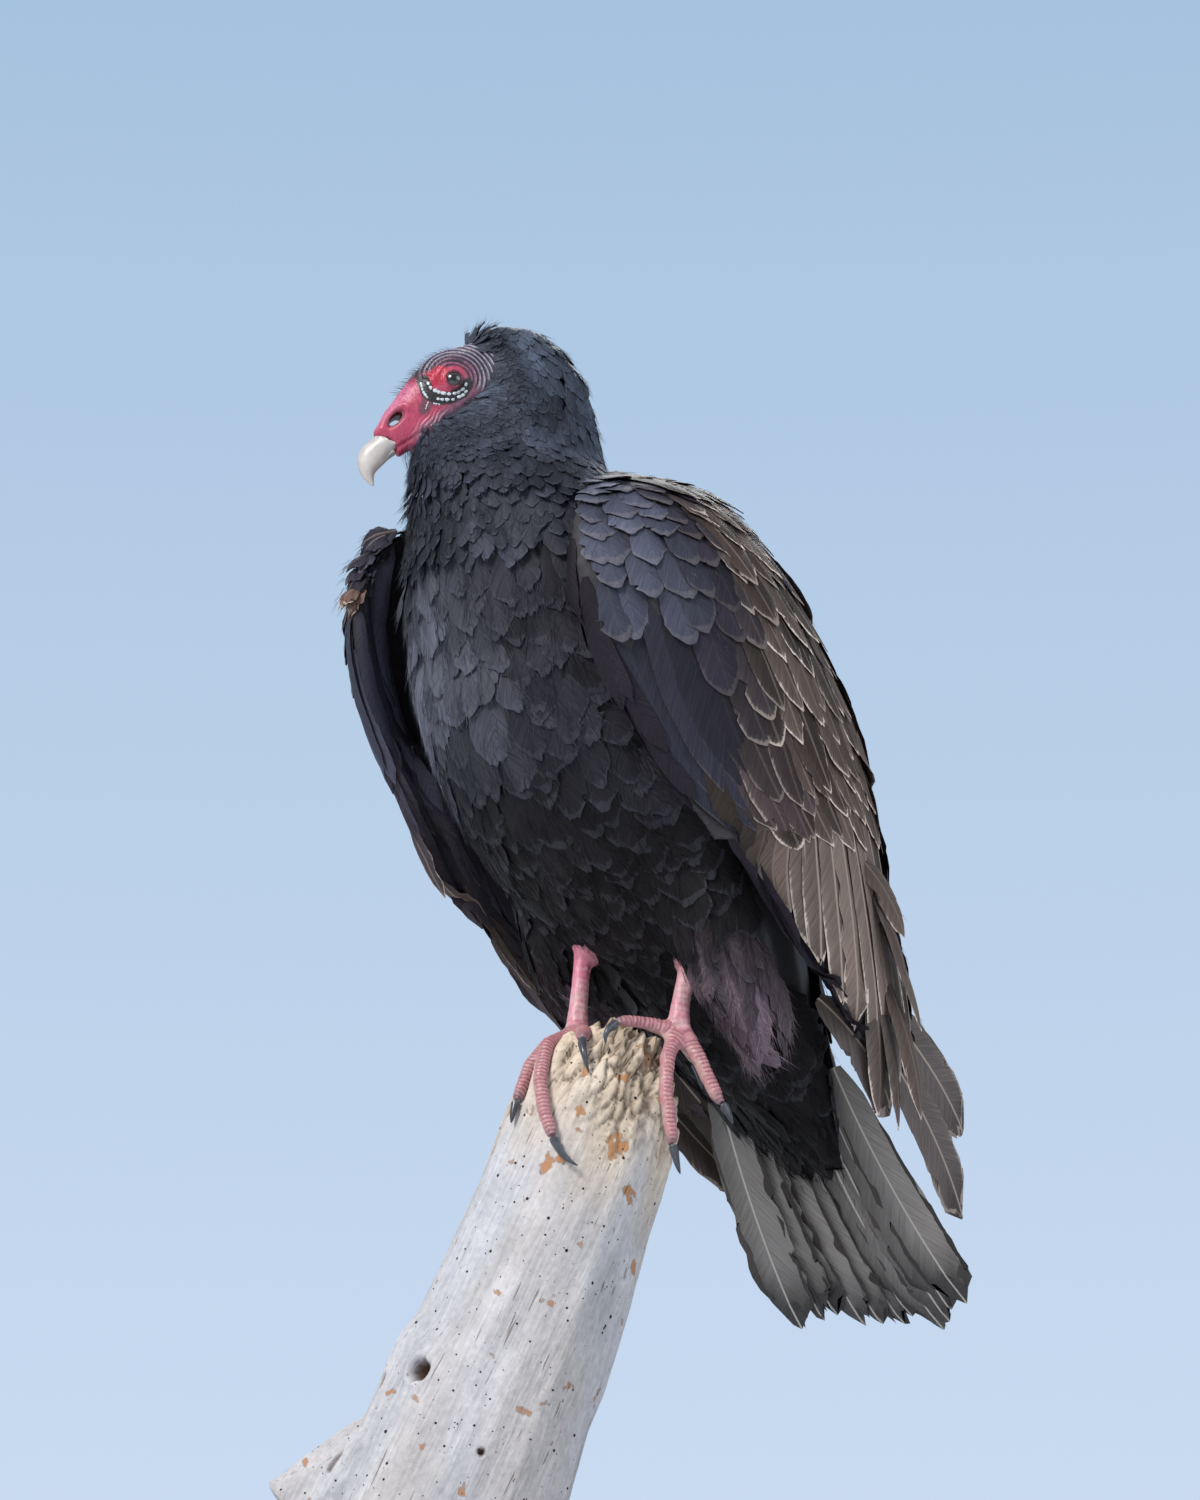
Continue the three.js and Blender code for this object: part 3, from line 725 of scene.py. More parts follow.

# %% [markdown]
# ## Painting the skin
# The head's colours are regions with soft borders, so they are painted on the net's points, as with a vertex
# brush: crimson over the cere and cheeks, scarlet before the eye, black under it, a purple-black crown with
# pale violet folds, pink scaly legs, painted shade in the nostril and along the underside of the jaw, and
# near-black painted shade wherever feathers will cover the skin.

# %% Paint
CRIMSON = (0.37, 0.045, 0.095)
PINK_BRIDGE = (0.47, 0.13, 0.22)
SCARLET = (0.37, 0.018, 0.045)
# painted shade inside the nostril
NOSTRIL_SHADE = (0.10, 0.008, 0.018)
LORE_BLACK = (0.014, 0.013, 0.018)
STUBBLE_GREY = (0.055, 0.045, 0.055)
# the crown's purple-black, also painted as shade under the jaw
CROWN_DARK_AND_SHADE = (0.021, 0.014, 0.028)
FOLD_PALE = (0.37, 0.33, 0.44)
FOLD_PINK = (0.40, 0.12, 0.21)
CHEEK = (0.17, 0.06, 0.105)
# near-black painted shade for the skin under the plumage
UNDER_COAT_SHADE = (0.02, 0.019, 0.024)
LEG_PINK = (0.57, 0.235, 0.29)
LEG_PALE = (0.60, 0.44, 0.43)
LEG_RED = (0.56, 0.095, 0.21)
LEG_DUST = (0.46, 0.37, 0.31)
TOE_ROSE = (0.42, 0.18, 0.20)
TOE_SLATE = (0.13, 0.10, 0.12)
SCUTE_GROOVE = (0.10, 0.035, 0.045)
SCUTE_LIGHT = (0.58, 0.42, 0.40)


def blend(base, colour, share):
    return base + (np.array(colour) - base) * np.clip(share, 0, 1)[:, None]


def layered(base, *layers):
    """A base colour with layers of (colour, share of each point) over it, one after another."""
    colour = np.array(base)
    for tint, share in layers:
        colour = blend(colour, tint, share)
    return colour


def paint_head(points):
    across, forward, up = head_mm(points)
    radius = np.hypot(forward, up)
    wave, where = fold_wave(forward, up)
    speckle = 0.5 + 0.5 * np.sin(forward * 3.1 + 2 * np.sin(up * 2.3)) * np.sin(up * 3.7 + across * 1.9)
    under_jaw = near_line(forward, up, [(-9, -17), (14, -15), (31, -17), (38, -18)])
    crown = smoothstep(12, 16, up + 0.4 * np.maximum(-forward, 0)) * smoothstep(21, 13, forward)
    crown = np.maximum(crown, where * smoothstep(6.5, 9, radius))
    crown = np.maximum(crown, smoothstep(-6, -12, forward))
    stubble = 1 - smoothstep(2.5, 4.5, near_line(forward, up, [(16, 0), (23, -2.5)]))
    colour = layered(
        CRIMSON,
        (PINK_BRIDGE, smoothstep(9, 15, up + 0.12 * forward) * smoothstep(16, 24, forward)),
        (CHEEK, smoothstep(-6, -12, up) * smoothstep(43, 30, forward)),
        # painted shade: the nostril's recess is painted dark, as shade inside it
        (NOSTRIL_SHADE, 1 - smoothstep(1.05, 1.55, nostril_reach(forward, up))),
        # painted shade: a dark band along the underside of the jaw, by the hood's edge
        (CROWN_DARK_AND_SHADE, 0.8 * (1 - smoothstep(0.5, 4.5, under_jaw))),
        (CROWN_DARK_AND_SHADE, crown),
        (blend(np.array(FOLD_PINK), FOLD_PALE, smoothstep(11, 17, radius)),
         where * wave**4 * (0.65 + 0.35 * speckle)),
        (SCARLET, 1 - smoothstep(0.8, 1.1, np.hypot((forward - 5.8) / 7.2, (up - 7.2) / 5.6))),
        (STUBBLE_GREY, stubble * (0.5 + 0.5 * speckle)),
        (LORE_BLACK, 1 - smoothstep(3.0, 3.9, near_line(forward, up, PLATE_ARC))),
        (LORE_BLACK, 0.9 * (1 - smoothstep(4.7, 5.5, radius))),
    )
    return colour * (0.85 + 0.3 * speckle)[:, None]


def paint_legs(points, normals):
    wave, top, tip, on_toe, _ = scutes(points, normals)
    height = points[:, 2]
    blush = smoothstep(foot_low + 0.022, foot_low + 0.045, height) * (points[:, 0] < 0.034)
    patchy = 0.5 + 0.5 * np.sin(points[:, 0] * 310 + 3 * np.sin(height * 240)) * np.sin(height * 420)
    return layered(
        LEG_PINK,
        (LEG_RED, 0.8 * blush * (0.6 + 0.4 * top)),
        (LEG_PALE, 0.7 * patchy * (1 - on_toe) * (1 - 0.6 * blush)),
        (TOE_ROSE, 0.9 * on_toe),
        (LEG_DUST, 0.6 * patchy * on_toe * (1 - top)),
        (SCUTE_GROOVE, 0.75 * top * (1 - wave) ** 2 * (0.35 + 0.65 * on_toe) * (wave > 0)),
        (SCUTE_LIGHT, 0.4 * top * wave**6 * patchy),
        (TOE_SLATE, 0.7 * tip),
    )


def paint_skin(piece):
    points = points_of(piece)
    low = points[:, 2] < foot_top + 0.02
    colour = paint_head(points)
    colour[low] = paint_legs(points[low], normals_of(piece)[low])
    # painted shade: skin under the feathers is painted near-black, so that gaps between feathers read as
    # shadow
    covered = smoothstep(0.002, 0.008, distances(bare_tree, points))
    return blend(colour, UNDER_COAT_SHADE, covered)


def store_colour(mesh, name, colours):
    layer = mesh.color_attributes.new(name, "FLOAT_COLOR", "POINT")
    rgba = np.ones((len(colours), 4), np.float32)
    rgba[:, :3] = colours
    layer.data.foreach_set("color", rgba.ravel())


store_colour(skin.data, "paint", paint_skin(skin))

skin_finish, tree, shader = mottled_material(
    "bare_skin", 0.42, "paint", 420.0, 0.22, Subsurface_Weight=0.12, Specular_IOR_Level=0.5,
)
shader.inputs["Subsurface Radius"].default_value = (0.003, 0.001, 0.0008)
shader.inputs["Subsurface Scale"].default_value = 1.0
pebbles = node_in(tree, "ShaderNodeTexVoronoi")
pebbles.inputs["Scale"].default_value = 950
wire(tree, own_place(tree), pebbles.inputs["Vector"])
add_bump(tree, shader, pebbles.outputs["Distance"], 0.0002, 0.5)
skin.data.materials.append(skin_finish)
dress(skin, "red_skin", *FLESH)

# %% [markdown]
# ## Eyes
# The eyeball sits in its socket with only its front showing between the lids. A ball's pole is turned
# outwards, so that the pupil, iris and dark rim are rings round that pole, painted on its points.

# %% Eyes
PUPIL_ANGLE = math.radians(19)
IRIS_ANGLE = math.radians(36)
IRIS = (0.030, 0.031, 0.029)
IRIS_RIM = (0.005, 0.005, 0.006)
PUPIL = (0.002, 0.002, 0.002)

eye_finish, tree, shader = start_material("eye_wet", 0.08, Coat_Weight=1.0, Coat_Roughness=0.02)
wire(tree, attribute(tree, "paint"), shader.inputs["Base Color"])
for side, sign in SIGNS:
    deselect_all()
    bpy.ops.mesh.primitive_uv_sphere_add(segments=48, ring_count=32, radius=(EYE_RADIUS_MM - 0.15) * MM)
    eye = bpy.context.object
    eye.name = "eyeball_" + side
    eye.data.transform(Matrix.Rotation(math.radians(90 * sign), 4, "Y"))
    axis = np.array([sign, 0, 0])
    ball = points_of(eye)
    polar = np.arccos(np.clip(ball @ axis / np.linalg.norm(ball, axis=1), -1, 1))
    rays = 0.75 + 0.25 * np.sin(np.arctan2(ball[:, 1], ball[:, 2]) * 24)
    store_colour(eye.data, "paint", layered(
        np.array(IRIS) * rays[:, None],
        (IRIS_RIM, smoothstep(IRIS_ANGLE - 0.12, IRIS_ANGLE, polar)),
        (PUPIL, 1 - smoothstep(PUPIL_ANGLE - 0.04, PUPIL_ANGLE + 0.04, polar)),
    ))
    eye.data.transform(Matrix.Translation(eye_centres[side]) @ HEAD.to_3x3().to_4x4())
    eye.data.materials.append(eye_finish)
    dress(eye, "eye", "eye_" + side)

# %% [markdown]
# ## Horn: bill and claws
# The facets of the bill and claws are first paired into squares and then subdivided, which keeps their
# sharp tips. A remesh would blunt them.

# %% Smooth horn from a solid
horn_bill, _, _ = mottled_material(
    "ivory_horn", 0.33, (0.47, 0.445, 0.425), 110.0, 0.22, (0.0004, 0.5), Subsurface_Weight=0.08)
horn_claw, _, _ = mottled_material(
    "slate_horn", 0.3, (0.05, 0.055, 0.07), 260.0, 0.35, (0.0003, 0.6), Specular_IOR_Level=0.6)


def shape_upper(across, forward, up):
    """Deepens the rear of the upper half, so that its cutting edge runs back under the cere."""
    rear = smoothstep(63, 52, forward) * smoothstep(1, -7, up)
    return across * (1 + 0.12 * rear), forward - 4.2 * rear, up - 1.5 * rear


def shape_lower(across, forward, up):
    """Tucks the lower half up into the upper one."""
    return across * 1.1, forward + 0.6, up + 1.3


def smooth_horn(node, name, finish, slot, shape=None):
    piece = copy_of([node], name)
    if shape:
        set_points(piece, from_head_mm(*shape(*head_mm(points_of(piece)))))
    bpy.ops.object.mode_set(mode="EDIT")
    bpy.ops.mesh.select_all(action="SELECT")
    bpy.ops.mesh.tris_convert_to_quads(face_threshold=math.radians(60), shape_threshold=math.radians(60))
    bpy.ops.object.mode_set(mode="OBJECT")
    apply_modifier(piece, "SUBSURF", levels=2, render_levels=2)
    piece.data.materials.append(finish)
    dress(piece, slot, node)


for half, shape in (("upper", shape_upper), ("lower", shape_lower)):
    smooth_horn("bill_" + half, "bill_horn_" + half, horn_bill, "ivory_horn", shape=shape)
for side in SIDES:
    for toe in TOES:
        node = "claw_" + toe + "_" + side
        smooth_horn(node, "talon_" + toe + "_" + side, horn_claw, "claw")

# %% [markdown]
# ## How a feather is built
# Every feather is a thin closed vane round a curved spine: a row of points across its top, one point
# under its middle, and edges where the two meet. A whole tract of feathers is worked out at once as
# arrays and becomes one joined mesh, which stays light enough for thousands of feathers. Barbs split at
# the edges, so the outline of each vane is ragged, with slits here and there.
# The bake map gives each feather a small patch of its own at its root's place on the unwrapped body.

# %% The vane builder
BAKE_PATCH = 0.003  # of the unwrap, for one small feather
VANE_THICK = 0.0002
rng = np.random.default_rng(11)


def outward(points, squares, *others):
    """The faces of a closed shape, turned so that they all look outwards."""
    a, b, c, d = (points[squares[:, k]] for k in range(4))
    turned_in = np.sum(a * (np.cross(b, c) + np.cross(c, d))) < 0
    return [faces[:, ::-1] if turned_in else faces for faces in (squares, *others)]


def write_uv(mesh, name, per_point, faces):
    layer = mesh.uv_layers.new(name=name)
    layer.data.foreach_set("uv", per_point[faces.ravel()].astype(np.float32).ravel())


def mesh_of(name, points, loops, starts):
    mesh = bpy.data.meshes.new(name)
    mesh.vertices.add(len(points))
    mesh.vertices.foreach_set("co", points.astype(np.float32).ravel())
    mesh.loops.add(len(loops))
    mesh.loops.foreach_set("vertex_index", loops.astype(np.int32))
    mesh.polygons.add(len(starts))
    mesh.polygons.foreach_set("loop_start", starts.astype(np.int32))
    mesh.update(calc_edges=True)
    return mesh


def mesh_of_squares(name, points, faces):
    return mesh_of(name, points, faces.ravel(), np.arange(0, faces.size, 4))


def vane_faces(count, rows, columns):
    """The squares of one closed vane, repeated for every feather."""
    per = columns + 1
    ring = np.arange(per)
    low = np.arange(rows - 1)[:, None] * per
    quads = np.stack(np.broadcast_arrays(
        low + ring, low + (ring + 1) % per, low + per + (ring + 1) % per, low + per + ring,
    ), axis=2).reshape(-1, 4)
    last = (rows - 1) * per
    caps = []
    for j in range(0, columns - 1, 2):
        caps.append([columns, j + 2, j + 1, j])
        caps.append([last + columns, last + j, last + j + 1, last + j + 2])
    quads = np.concatenate([quads, np.array(caps)])
    return (quads[None] + (np.arange(count) * rows * per)[:, None, None]).reshape(-1, 4)


def vanes(
    name, spine, up, half_width, columns, tint, finish, root_uv, slot="wing_plumage", camber=0.15, ragged=0.1,
    slits=0.0, round=0.5, ridge=0.0, roll=0.0, fringe=0.0, shaft=0.3, worn_tip=0.0, tip_from=0.8,
    dark_tip=0.0, dark_root=0.35, dark_rear=0.0, rear=1, patch=BAKE_PATCH,
):
    """A joined mesh of N feathers of R rows. spine and up are (N, R, 3), half_width is (N, R), tint is
    (N, 3) and root_uv is (N, 2). The other values are the finer points of their shape and colour."""
    count, rows, _ = spine.shape
    fringe, shaft, roll = (np.broadcast_to(value, (count,)) for value in (fringe, shaft, roll))
    roll = roll[:, None, None]
    along = unit(np.gradient(spine, axis=1))
    up = unit(up - along * np.sum(up * along, axis=2, keepdims=True))
    side = np.cross(along, up)
    side, up = side * np.cos(roll) + up * np.sin(roll), up * np.cos(roll) - side * np.sin(roll)
    u = np.linspace(-1, 1, columns)
    v = np.linspace(0, 1, rows)
    length = np.linalg.norm(np.diff(spine, axis=1), axis=2).sum(axis=1)
    widest = half_width.max(axis=1)[:, None, None]
    uneven = 1 + ragged * rng.uniform(-1, 0.6, (count, rows, columns)) * (np.abs(u) > 0.6)
    chance = rng.uniform(0, 1, (count, rows, columns))
    slit = (chance < slits) & (np.abs(u) > 0.9) & (v[:, None] > 0.3)
    reach = half_width[:, :, None] * u * np.where(slit, uneven * 0.62, uneven)
    tip = smoothstep(0.5, 1.0, v)[None, :, None]
    shift = ragged * 1.8 * widest * rng.uniform(-1, 0.5, (count, rows, columns)) * tip
    shift = shift - round * widest * (u**2)[None, None, :] * tip
    worn = worn_tip * widest * smoothstep(0.85, 1.0, v)[None, :, None]
    shift = shift - worn * rng.uniform(0, 1, (count, 1, columns))
    rise = -camber * half_width[:, :, None] * u**2 + VANE_THICK * (1 - u**2)
    rise = rise + ridge * (np.abs(u) < 0.01)
    top = spine[:, :, None] + side[:, :, None] * reach[..., None] + up[:, :, None] * rise[..., None]
    top = top + along[:, :, None] * shift[..., None]
    low = spine - up * (VANE_THICK + 0.45 * camber * half_width)[:, :, None]
    points = np.concatenate([top, low[:, :, None]], axis=2).reshape(-1, 3)
    faces, = outward(points, vane_faces(count, rows, columns))
    mesh = mesh_of_squares(name, points, faces)

    blank = np.zeros((count, rows, 1))
    across_mm = np.concatenate([reach, blank], axis=2) / MM
    along_mm = (v[None, :, None] * length[:, None, None] + np.concatenate([shift, blank], axis=2)) / MM
    along_mm = along_mm + rng.uniform(0, 4000, (count, 1, 1))
    write_uv(mesh, "vane", np.stack([across_mm, along_mm], axis=3).reshape(-1, 2), faces)
    patch_u = np.concatenate([np.broadcast_to(u / 2, (count, rows, columns)), blank], axis=2)
    patch_v = np.broadcast_to((v - 0.5)[None, :, None], patch_u.shape)
    spread = np.stack([patch_u, patch_v], axis=3) * patch
    write_uv(mesh, "OFBake", (root_uv[:, None, None, :] + spread).reshape(-1, 2), faces)

    tints = np.broadcast_to(tint[:, None, None, :], (count, rows, columns + 1, 3)).copy()
    # painted shade: each feather is painted darker towards its root, where the feathers over it cover it
    tints *= (1 - dark_root * (1 - v) ** 2)[None, :, None, None]
    # painted shade: the rear side of each feather, which lies under its neighbour, is painted darker
    behind = smoothstep(-0.2, 0.9, np.append(u, 0) * rear)
    tints *= (1 - dark_rear * behind)[None, None, :, None]
    ends = smoothstep(tip_from, 0.97, v)[None, :, None] * rng.uniform(0.75, 1, (count, 1, 1))
    tints *= (1 - dark_tip * ends)[..., None]
    store_colour(mesh, "paint", tints.reshape(-1, 3))
    start = 1 - np.clip(0.8 * widest / length[:, None, None], 0.05, 0.9)
    near_tip = 1.45 * np.clip((v[None, :, None] - start) / (1 - start), 0, 1)
    beside = (0.72 + 0.24 * smoothstep(0.45, 0.9, v))[None, :, None] * np.abs(u)
    edge = np.clip(np.hypot(beside, near_tip), 0, 1)
    edge = np.concatenate([edge, 0.3 + blank], axis=2)
    marks = np.broadcast_arrays(edge, fringe[:, None, None], shaft[:, None, None])
    store_colour(mesh, "marks", np.stack(marks, axis=3).reshape(-1, 3))
    mesh.materials.append(finish)
    piece = place_piece(name, mesh)
    dress(piece, slot, crease=50)
    return piece


# %% Loose barbs
STRAND_SIDES = 3


def strands(name, slot, spine, up, radius, tint, root_uv):
    """A joined mesh of N hair-like barbs, each a thin three-sided spike along its spine (N, R, 3)."""
    count, rows, _ = spine.shape
    along = unit(np.gradient(spine, axis=1))
    side = unit(np.cross(along, up))
    over = np.cross(side, along)
    turn = np.arange(STRAND_SIDES) * 2 * math.pi / STRAND_SIDES
    taper = np.linspace(1, 0.06, rows)[None, :, None, None] * radius[:, None, None, None]
    ring = side[:, :, None] * np.cos(turn)[:, None] + over[:, :, None] * np.sin(turn)[:, None]
    points = (spine[:, :, None] + ring * taper).reshape(-1, 3)
    low = np.arange(rows - 1)[:, None] * STRAND_SIDES
    k = np.arange(STRAND_SIDES)
    quads = np.stack(np.broadcast_arrays(
        low + k, low + (k + 1) % STRAND_SIDES,
        low + STRAND_SIDES + (k + 1) % STRAND_SIDES, low + STRAND_SIDES + k,
    ), axis=2).reshape(-1, 4)
    last = (rows - 1) * STRAND_SIDES
    caps = np.array([[2, 1, 0], [last, last + 1, last + 2]])
    start = (np.arange(count) * rows * STRAND_SIDES)[:, None, None]
    quads, caps = (quads[None] + start).reshape(-1, 4), (caps[None] + start).reshape(-1, 3)
    quads, caps = outward(points, quads, caps)
    loops = np.concatenate([quads.ravel(), caps.ravel()])
    starts = np.concatenate([np.arange(len(quads)) * 4, quads.size + np.arange(len(caps)) * 3])
    mesh = mesh_of(name, points, loops, starts)
    v = np.linspace(-0.5, 0.5, rows)[None, :, None]
    u = (k / STRAND_SIDES - 0.5)[None, None, :]
    place = np.stack(np.broadcast_arrays(u, v + np.zeros((count, 1, 1))), axis=3) * BAKE_PATCH
    write_uv(mesh, "OFBake", (root_uv[:, None, None, :] + place).reshape(-1, 2), loops)
    tints = np.broadcast_to(tint[:, None, None, :], (count, rows, STRAND_SIDES, 3))
    store_colour(mesh, "paint", tints.reshape(-1, 3))
    mesh.materials.append(loose_barb)
    dress(place_piece(name, mesh), slot)


def fringe(name, slot, spine, up, half_width, tint, root_uv, per, reach, radius):
    """Loose barbs that leave each feather near its tip and reach past its edge."""
    count, rows, _ = spine.shape
    pick = np.repeat(np.arange(count), per)
    total = len(pick)
    at = rng.uniform(0.45, 0.9, total) * (rows - 1)
    row = np.floor(at).astype(int)
    share = (at - row)[:, None]
    along = unit(np.gradient(spine, axis=1))
    side = np.cross(along, up)
    start = spine[pick, row] * (1 - share) + spine[pick, np.minimum(row + 1, rows - 1)] * share
    across = rng.uniform(-0.85, 0.85, total)
    out, ahead, over = side[pick, row], along[pick, row], up[pick, row]
    start = start + out * (across * half_width[pick, row])[:, None] + over * 0.0002
    heading = unit(ahead + out * (across * 0.35 + rng.normal(0, 0.1, total))[:, None])
    long = (reach * rng.uniform(0.6, 1.3, total))[:, None]
    bend = out * rng.normal(0, 0.12, total)[:, None] + over * rng.uniform(-0.04, 0.12, total)[:, None]
    points = np.stack([start, start + heading * long * 0.5, start + (heading + bend) * long], axis=1)
    lights = tint[pick] * rng.uniform(0.8, 2.2, (total, 1))
    ups = np.repeat(over[:, None], 3, axis=1)
    strands(name, slot, points, ups, np.full(total, radius), lights, root_uv[pick])


# %% [markdown]
# ## Feather finish
# Barbs are finer than any mesh could hold, so the finish draws them: fine streaks that leave the shaft at
# a slant, in colour and in bump, with a pale shaft and pale worn edges where the marks ask for them.

# %% Barbs
barbs, b_in, b_out = new_group(
    "barbs",
    [("Slant", "NodeSocketFloat", 1.3)],
    [("Streak", "NodeSocketFloat"), ("Fine", "NodeSocketFloat"), ("Across", "NodeSocketFloat")],
)
b_uv = node_in(barbs, "ShaderNodeUVMap", uv_map="vane")
b_split = node_in(barbs, "ShaderNodeSeparateXYZ")
wire(barbs, b_uv.outputs["UV"], b_split.inputs[0])
b_off_shaft = math_node(barbs, "ABSOLUTE", b_split.outputs["X"])
b_swept = product(barbs, b_off_shaft, b_in.outputs["Slant"])
b_along = math_node(barbs, "SUBTRACT", b_split.outputs["Y"], b_swept)
for label, across_scale, along_scale, detail in (("Streak", 0.06, 0.45, 3.0), ("Fine", 0.12, 2.4, 2.0)):
    joined = node_in(barbs, "ShaderNodeCombineXYZ")
    wire(barbs, product(barbs, b_split.outputs["X"], across_scale), joined.inputs["X"])
    wire(barbs, product(barbs, b_along, along_scale), joined.inputs["Y"])
    wire(barbs, noise_node(barbs, 1.0, detail, joined.outputs[0]), b_out.inputs[label])
wire(barbs, b_off_shaft, b_out.inputs["Across"])


# %% Feather materials
def feather_material(name, roughness, edge_colour, shaft_colour, contrast, specular):
    material, tree, shader = start_material(name, roughness, Specular_IOR_Level=specular)
    marks = node_in(tree, "ShaderNodeSeparateColor")
    wire(tree, attribute(tree, "marks"), marks.inputs[0])
    edge, fringe, shaft = marks.outputs
    lines = use_group(tree, barbs, Slant=1.3)
    streak, fine = centred(tree, lines["Streak"]), centred(tree, lines["Fine"])
    swing = math_node(tree, "ADD", product(tree, streak, 4 * contrast), product(tree, fine, 1.6 * contrast))
    level = math_node(tree, "MAXIMUM", math_node(tree, "ADD", swing, 1.0), 0.15)
    colour = shaded(tree, attribute(tree, "paint"), level)
    frayed = math_node(tree, "ADD", edge, product(tree, streak, 0.35))
    worn = product(tree, soft_step(tree, 0.3, 1.0, frayed), 0.10)
    rim = math_node(tree, "MAXIMUM", worn, soft_step(tree, 0.74, 0.92, frayed))
    colour = mix_colour(tree, product(tree, rim, fringe), colour, edge_colour)
    quill = math_node(tree, "SUBTRACT", 1.0, soft_step(tree, 0.35, 1.0, lines["Across"]))
    colour = mix_colour(tree, product(tree, quill, shaft), colour, shaft_colour)
    wire(tree, colour, shader.inputs["Base Color"])
    add_bump(tree, shader, math_node(tree, "ADD", streak, product(tree, fine, 0.6)), 0.0005, 0.8)
    return material


soft_black = feather_material("soft_black_feather", 0.55, (0.11, 0.115, 0.145), (0.02, 0.02, 0.025), 0.42,
                              0.16)
vane_brown = feather_material("brown_wing_feather", 0.55, (0.82, 0.68, 0.59), (0.40, 0.32, 0.27), 0.3, 0.13)
vane_grey = feather_material("grey_tail_feather", 0.5, (0.05, 0.045, 0.045), (0.55, 0.52, 0.48), 0.28, 0.25)
loose_barb, _, _ = mottled_material("loose_barb", 0.6, "paint", 300.0, 0.1, Specular_IOR_Level=0.16)

# %% [markdown]
# ## Laying feathers along the body
# A feather follows the body: from its root in the skin it is walked along the surface of the coat in the
# direction the plumage lies, rising as it goes, so that its tip covers the roots of the next ones. The
# roots are scattered so that no two are nearer than their tract allows, as in real feather tracts.

# %% The body's form and its unwrap
body = copy_of(["neck", "trunk", "thigh_left", "thigh_right"], "body")
remesh(body, 0.004, 3)
bpy.ops.object.mode_set(mode="EDIT")
bpy.ops.mesh.select_all(action="SELECT")
bpy.ops.uv.smart_project(angle_limit=math.radians(66), island_margin=0.006)
bpy.ops.object.mode_set(mode="OBJECT")
body_tree = tree_of(body)
body_uv = np.empty(len(body.data.loops) * 2, np.float32)
body.data.uv_layers.active.data.foreach_get("uv", body_uv)
body_uv = body_uv.reshape(-1, 2)
print("body form", len(body.data.polygons), "faces")


REGIONS = {
    "head": solid_tree("head", "bill_upper", "bill_lower"),
    "neck": solid_tree("neck"),
    "trunk": solid_tree("trunk"),
    "thigh": solid_tree("thigh_left", "thigh_right"),
}
wing_solids = [solid_tree("wing_coverts_" + side, "wing_secondaries_" + side) for side in SIDES]


def patch_place(point):
    """Where a root lies on the body's unwrap."""
    face = body.data.polygons[body_tree.find_nearest(point)[2]]
    corners = np.array([body.data.vertices[k].co for k in face.vertices])
    weights = 1 / (np.linalg.norm(corners - np.array(point), axis=1) + 0.0002)
    uv = body_uv[face.loop_start:face.loop_start + face.loop_total]
    return (uv * weights[:, None]).sum(axis=0) / weights.sum()


# %% Which way the plumage lies
TRUNK_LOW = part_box("trunk")[0].z
FACE = from_head(0, 24, -3)
NECK_FLOW = Vector((0, 0.10, -1)).normalized()
TRUNK_FLOW = Vector((0, 0.60, -0.80))
NECK_BASE = 0.69
THIGH_FLOW = Vector((0, 0.30, -0.95))


def laid(lie, normal):
    """A direction, turned to run along the surface."""
    lie = lie - normal * lie.dot(normal)
    return lie.normalized() if lie.length > 1e-6 else Vector((0, 0, -1))


def body_flow(point, normal):
    """The lie of the plumage: away from the face, down the neck, then back and down the trunk."""
    lie = NECK_FLOW.lerp(TRUNK_FLOW, ease(NECK_BASE + 0.02, NECK_BASE - 0.08, point.z))
    from_face = point - FACE
    near = 1 - ease(0.035, 0.085, from_face.length)
    return laid(lie.lerp(from_face.normalized(), 0.85 * near), normal)


def thigh_flow(point, normal):
    return laid(THIGH_FLOW, normal)


def walk(tree, start, length, rows, lie, swerve=0.0, stiff=0.0):
    """Points and normals along the surface, from a root in the direction of the lie. A stiff feather
    carries straight on where the surface falls away under it."""
    place, normal, _, _ = tree.find_nearest(start)
    step = length / (rows - 1)
    places, normals = [tuple(place)], [tuple(normal)]
    heading = Matrix.Rotation(swerve, 3, normal) @ lie(place, normal)
    for _ in range(rows - 1):
        ahead = place + heading * step
        found, facing, _, _ = tree.find_nearest(ahead)
        outside = (ahead - found).dot(facing) > 0
        place = found.lerp(ahead, stiff) if outside else found
        normal = normal.lerp(facing, 0.6 * (1 - stiff)).normalized()
        wanted = Matrix.Rotation(swerve, 3, normal) @ lie(place, normal)
        heading = heading.lerp(wanted, 0.45)
        heading = (heading - normal * heading.dot(normal)).normalized()
        places.append(tuple(place))
        normals.append(tuple(normal))
    return places, normals


def runs_straight(line, length, share=0.86):
    """Whether a walked spine reached most of its length, and did not curl round an edge."""
    return math.dist(line[0], line[-1]) > share * length


def lifted(places, normals, depth, lift):
    """Raises spines off the surface: roots lie deep, tips stand out by the lift."""
    v = np.linspace(0, 1, places.shape[1])
    height = -np.asarray(depth).reshape(-1, 1) * (1 - v) ** 1.5 + np.asarray(lift).reshape(-1, 1) * v**2
    return places + normals * height[..., None]


WIDTH_PROFILES = {
    "soft": ([0, 0.2, 0.55, 0.8, 0.92, 1], [0.4, 0.8, 1, 0.97, 0.82, 0.5]),
    "pointed": ([0, 0.15, 0.5, 0.78, 0.92, 1], [0.4, 0.8, 1, 0.88, 0.58, 0.2]),
    "lance": ([0, 0.1, 0.45, 0.75, 0.9, 1], [0.4, 0.75, 1, 0.8, 0.45, 0.06]),
    "blade": ([0, 0.08, 0.3, 0.75, 0.93, 1], [0.25, 0.6, 0.85, 1, 0.75, 0.2]),
    "broad": ([0, 0.08, 0.3, 0.8, 0.95, 1], [0.25, 0.6, 0.85, 1, 0.88, 0.5]),
}


def widths(kind, rows, half_width):
    v = np.linspace(0, 1, rows)
    return np.asarray(half_width).reshape(-1, 1) * np.interp(v, *WIDTH_PROFILES[kind])


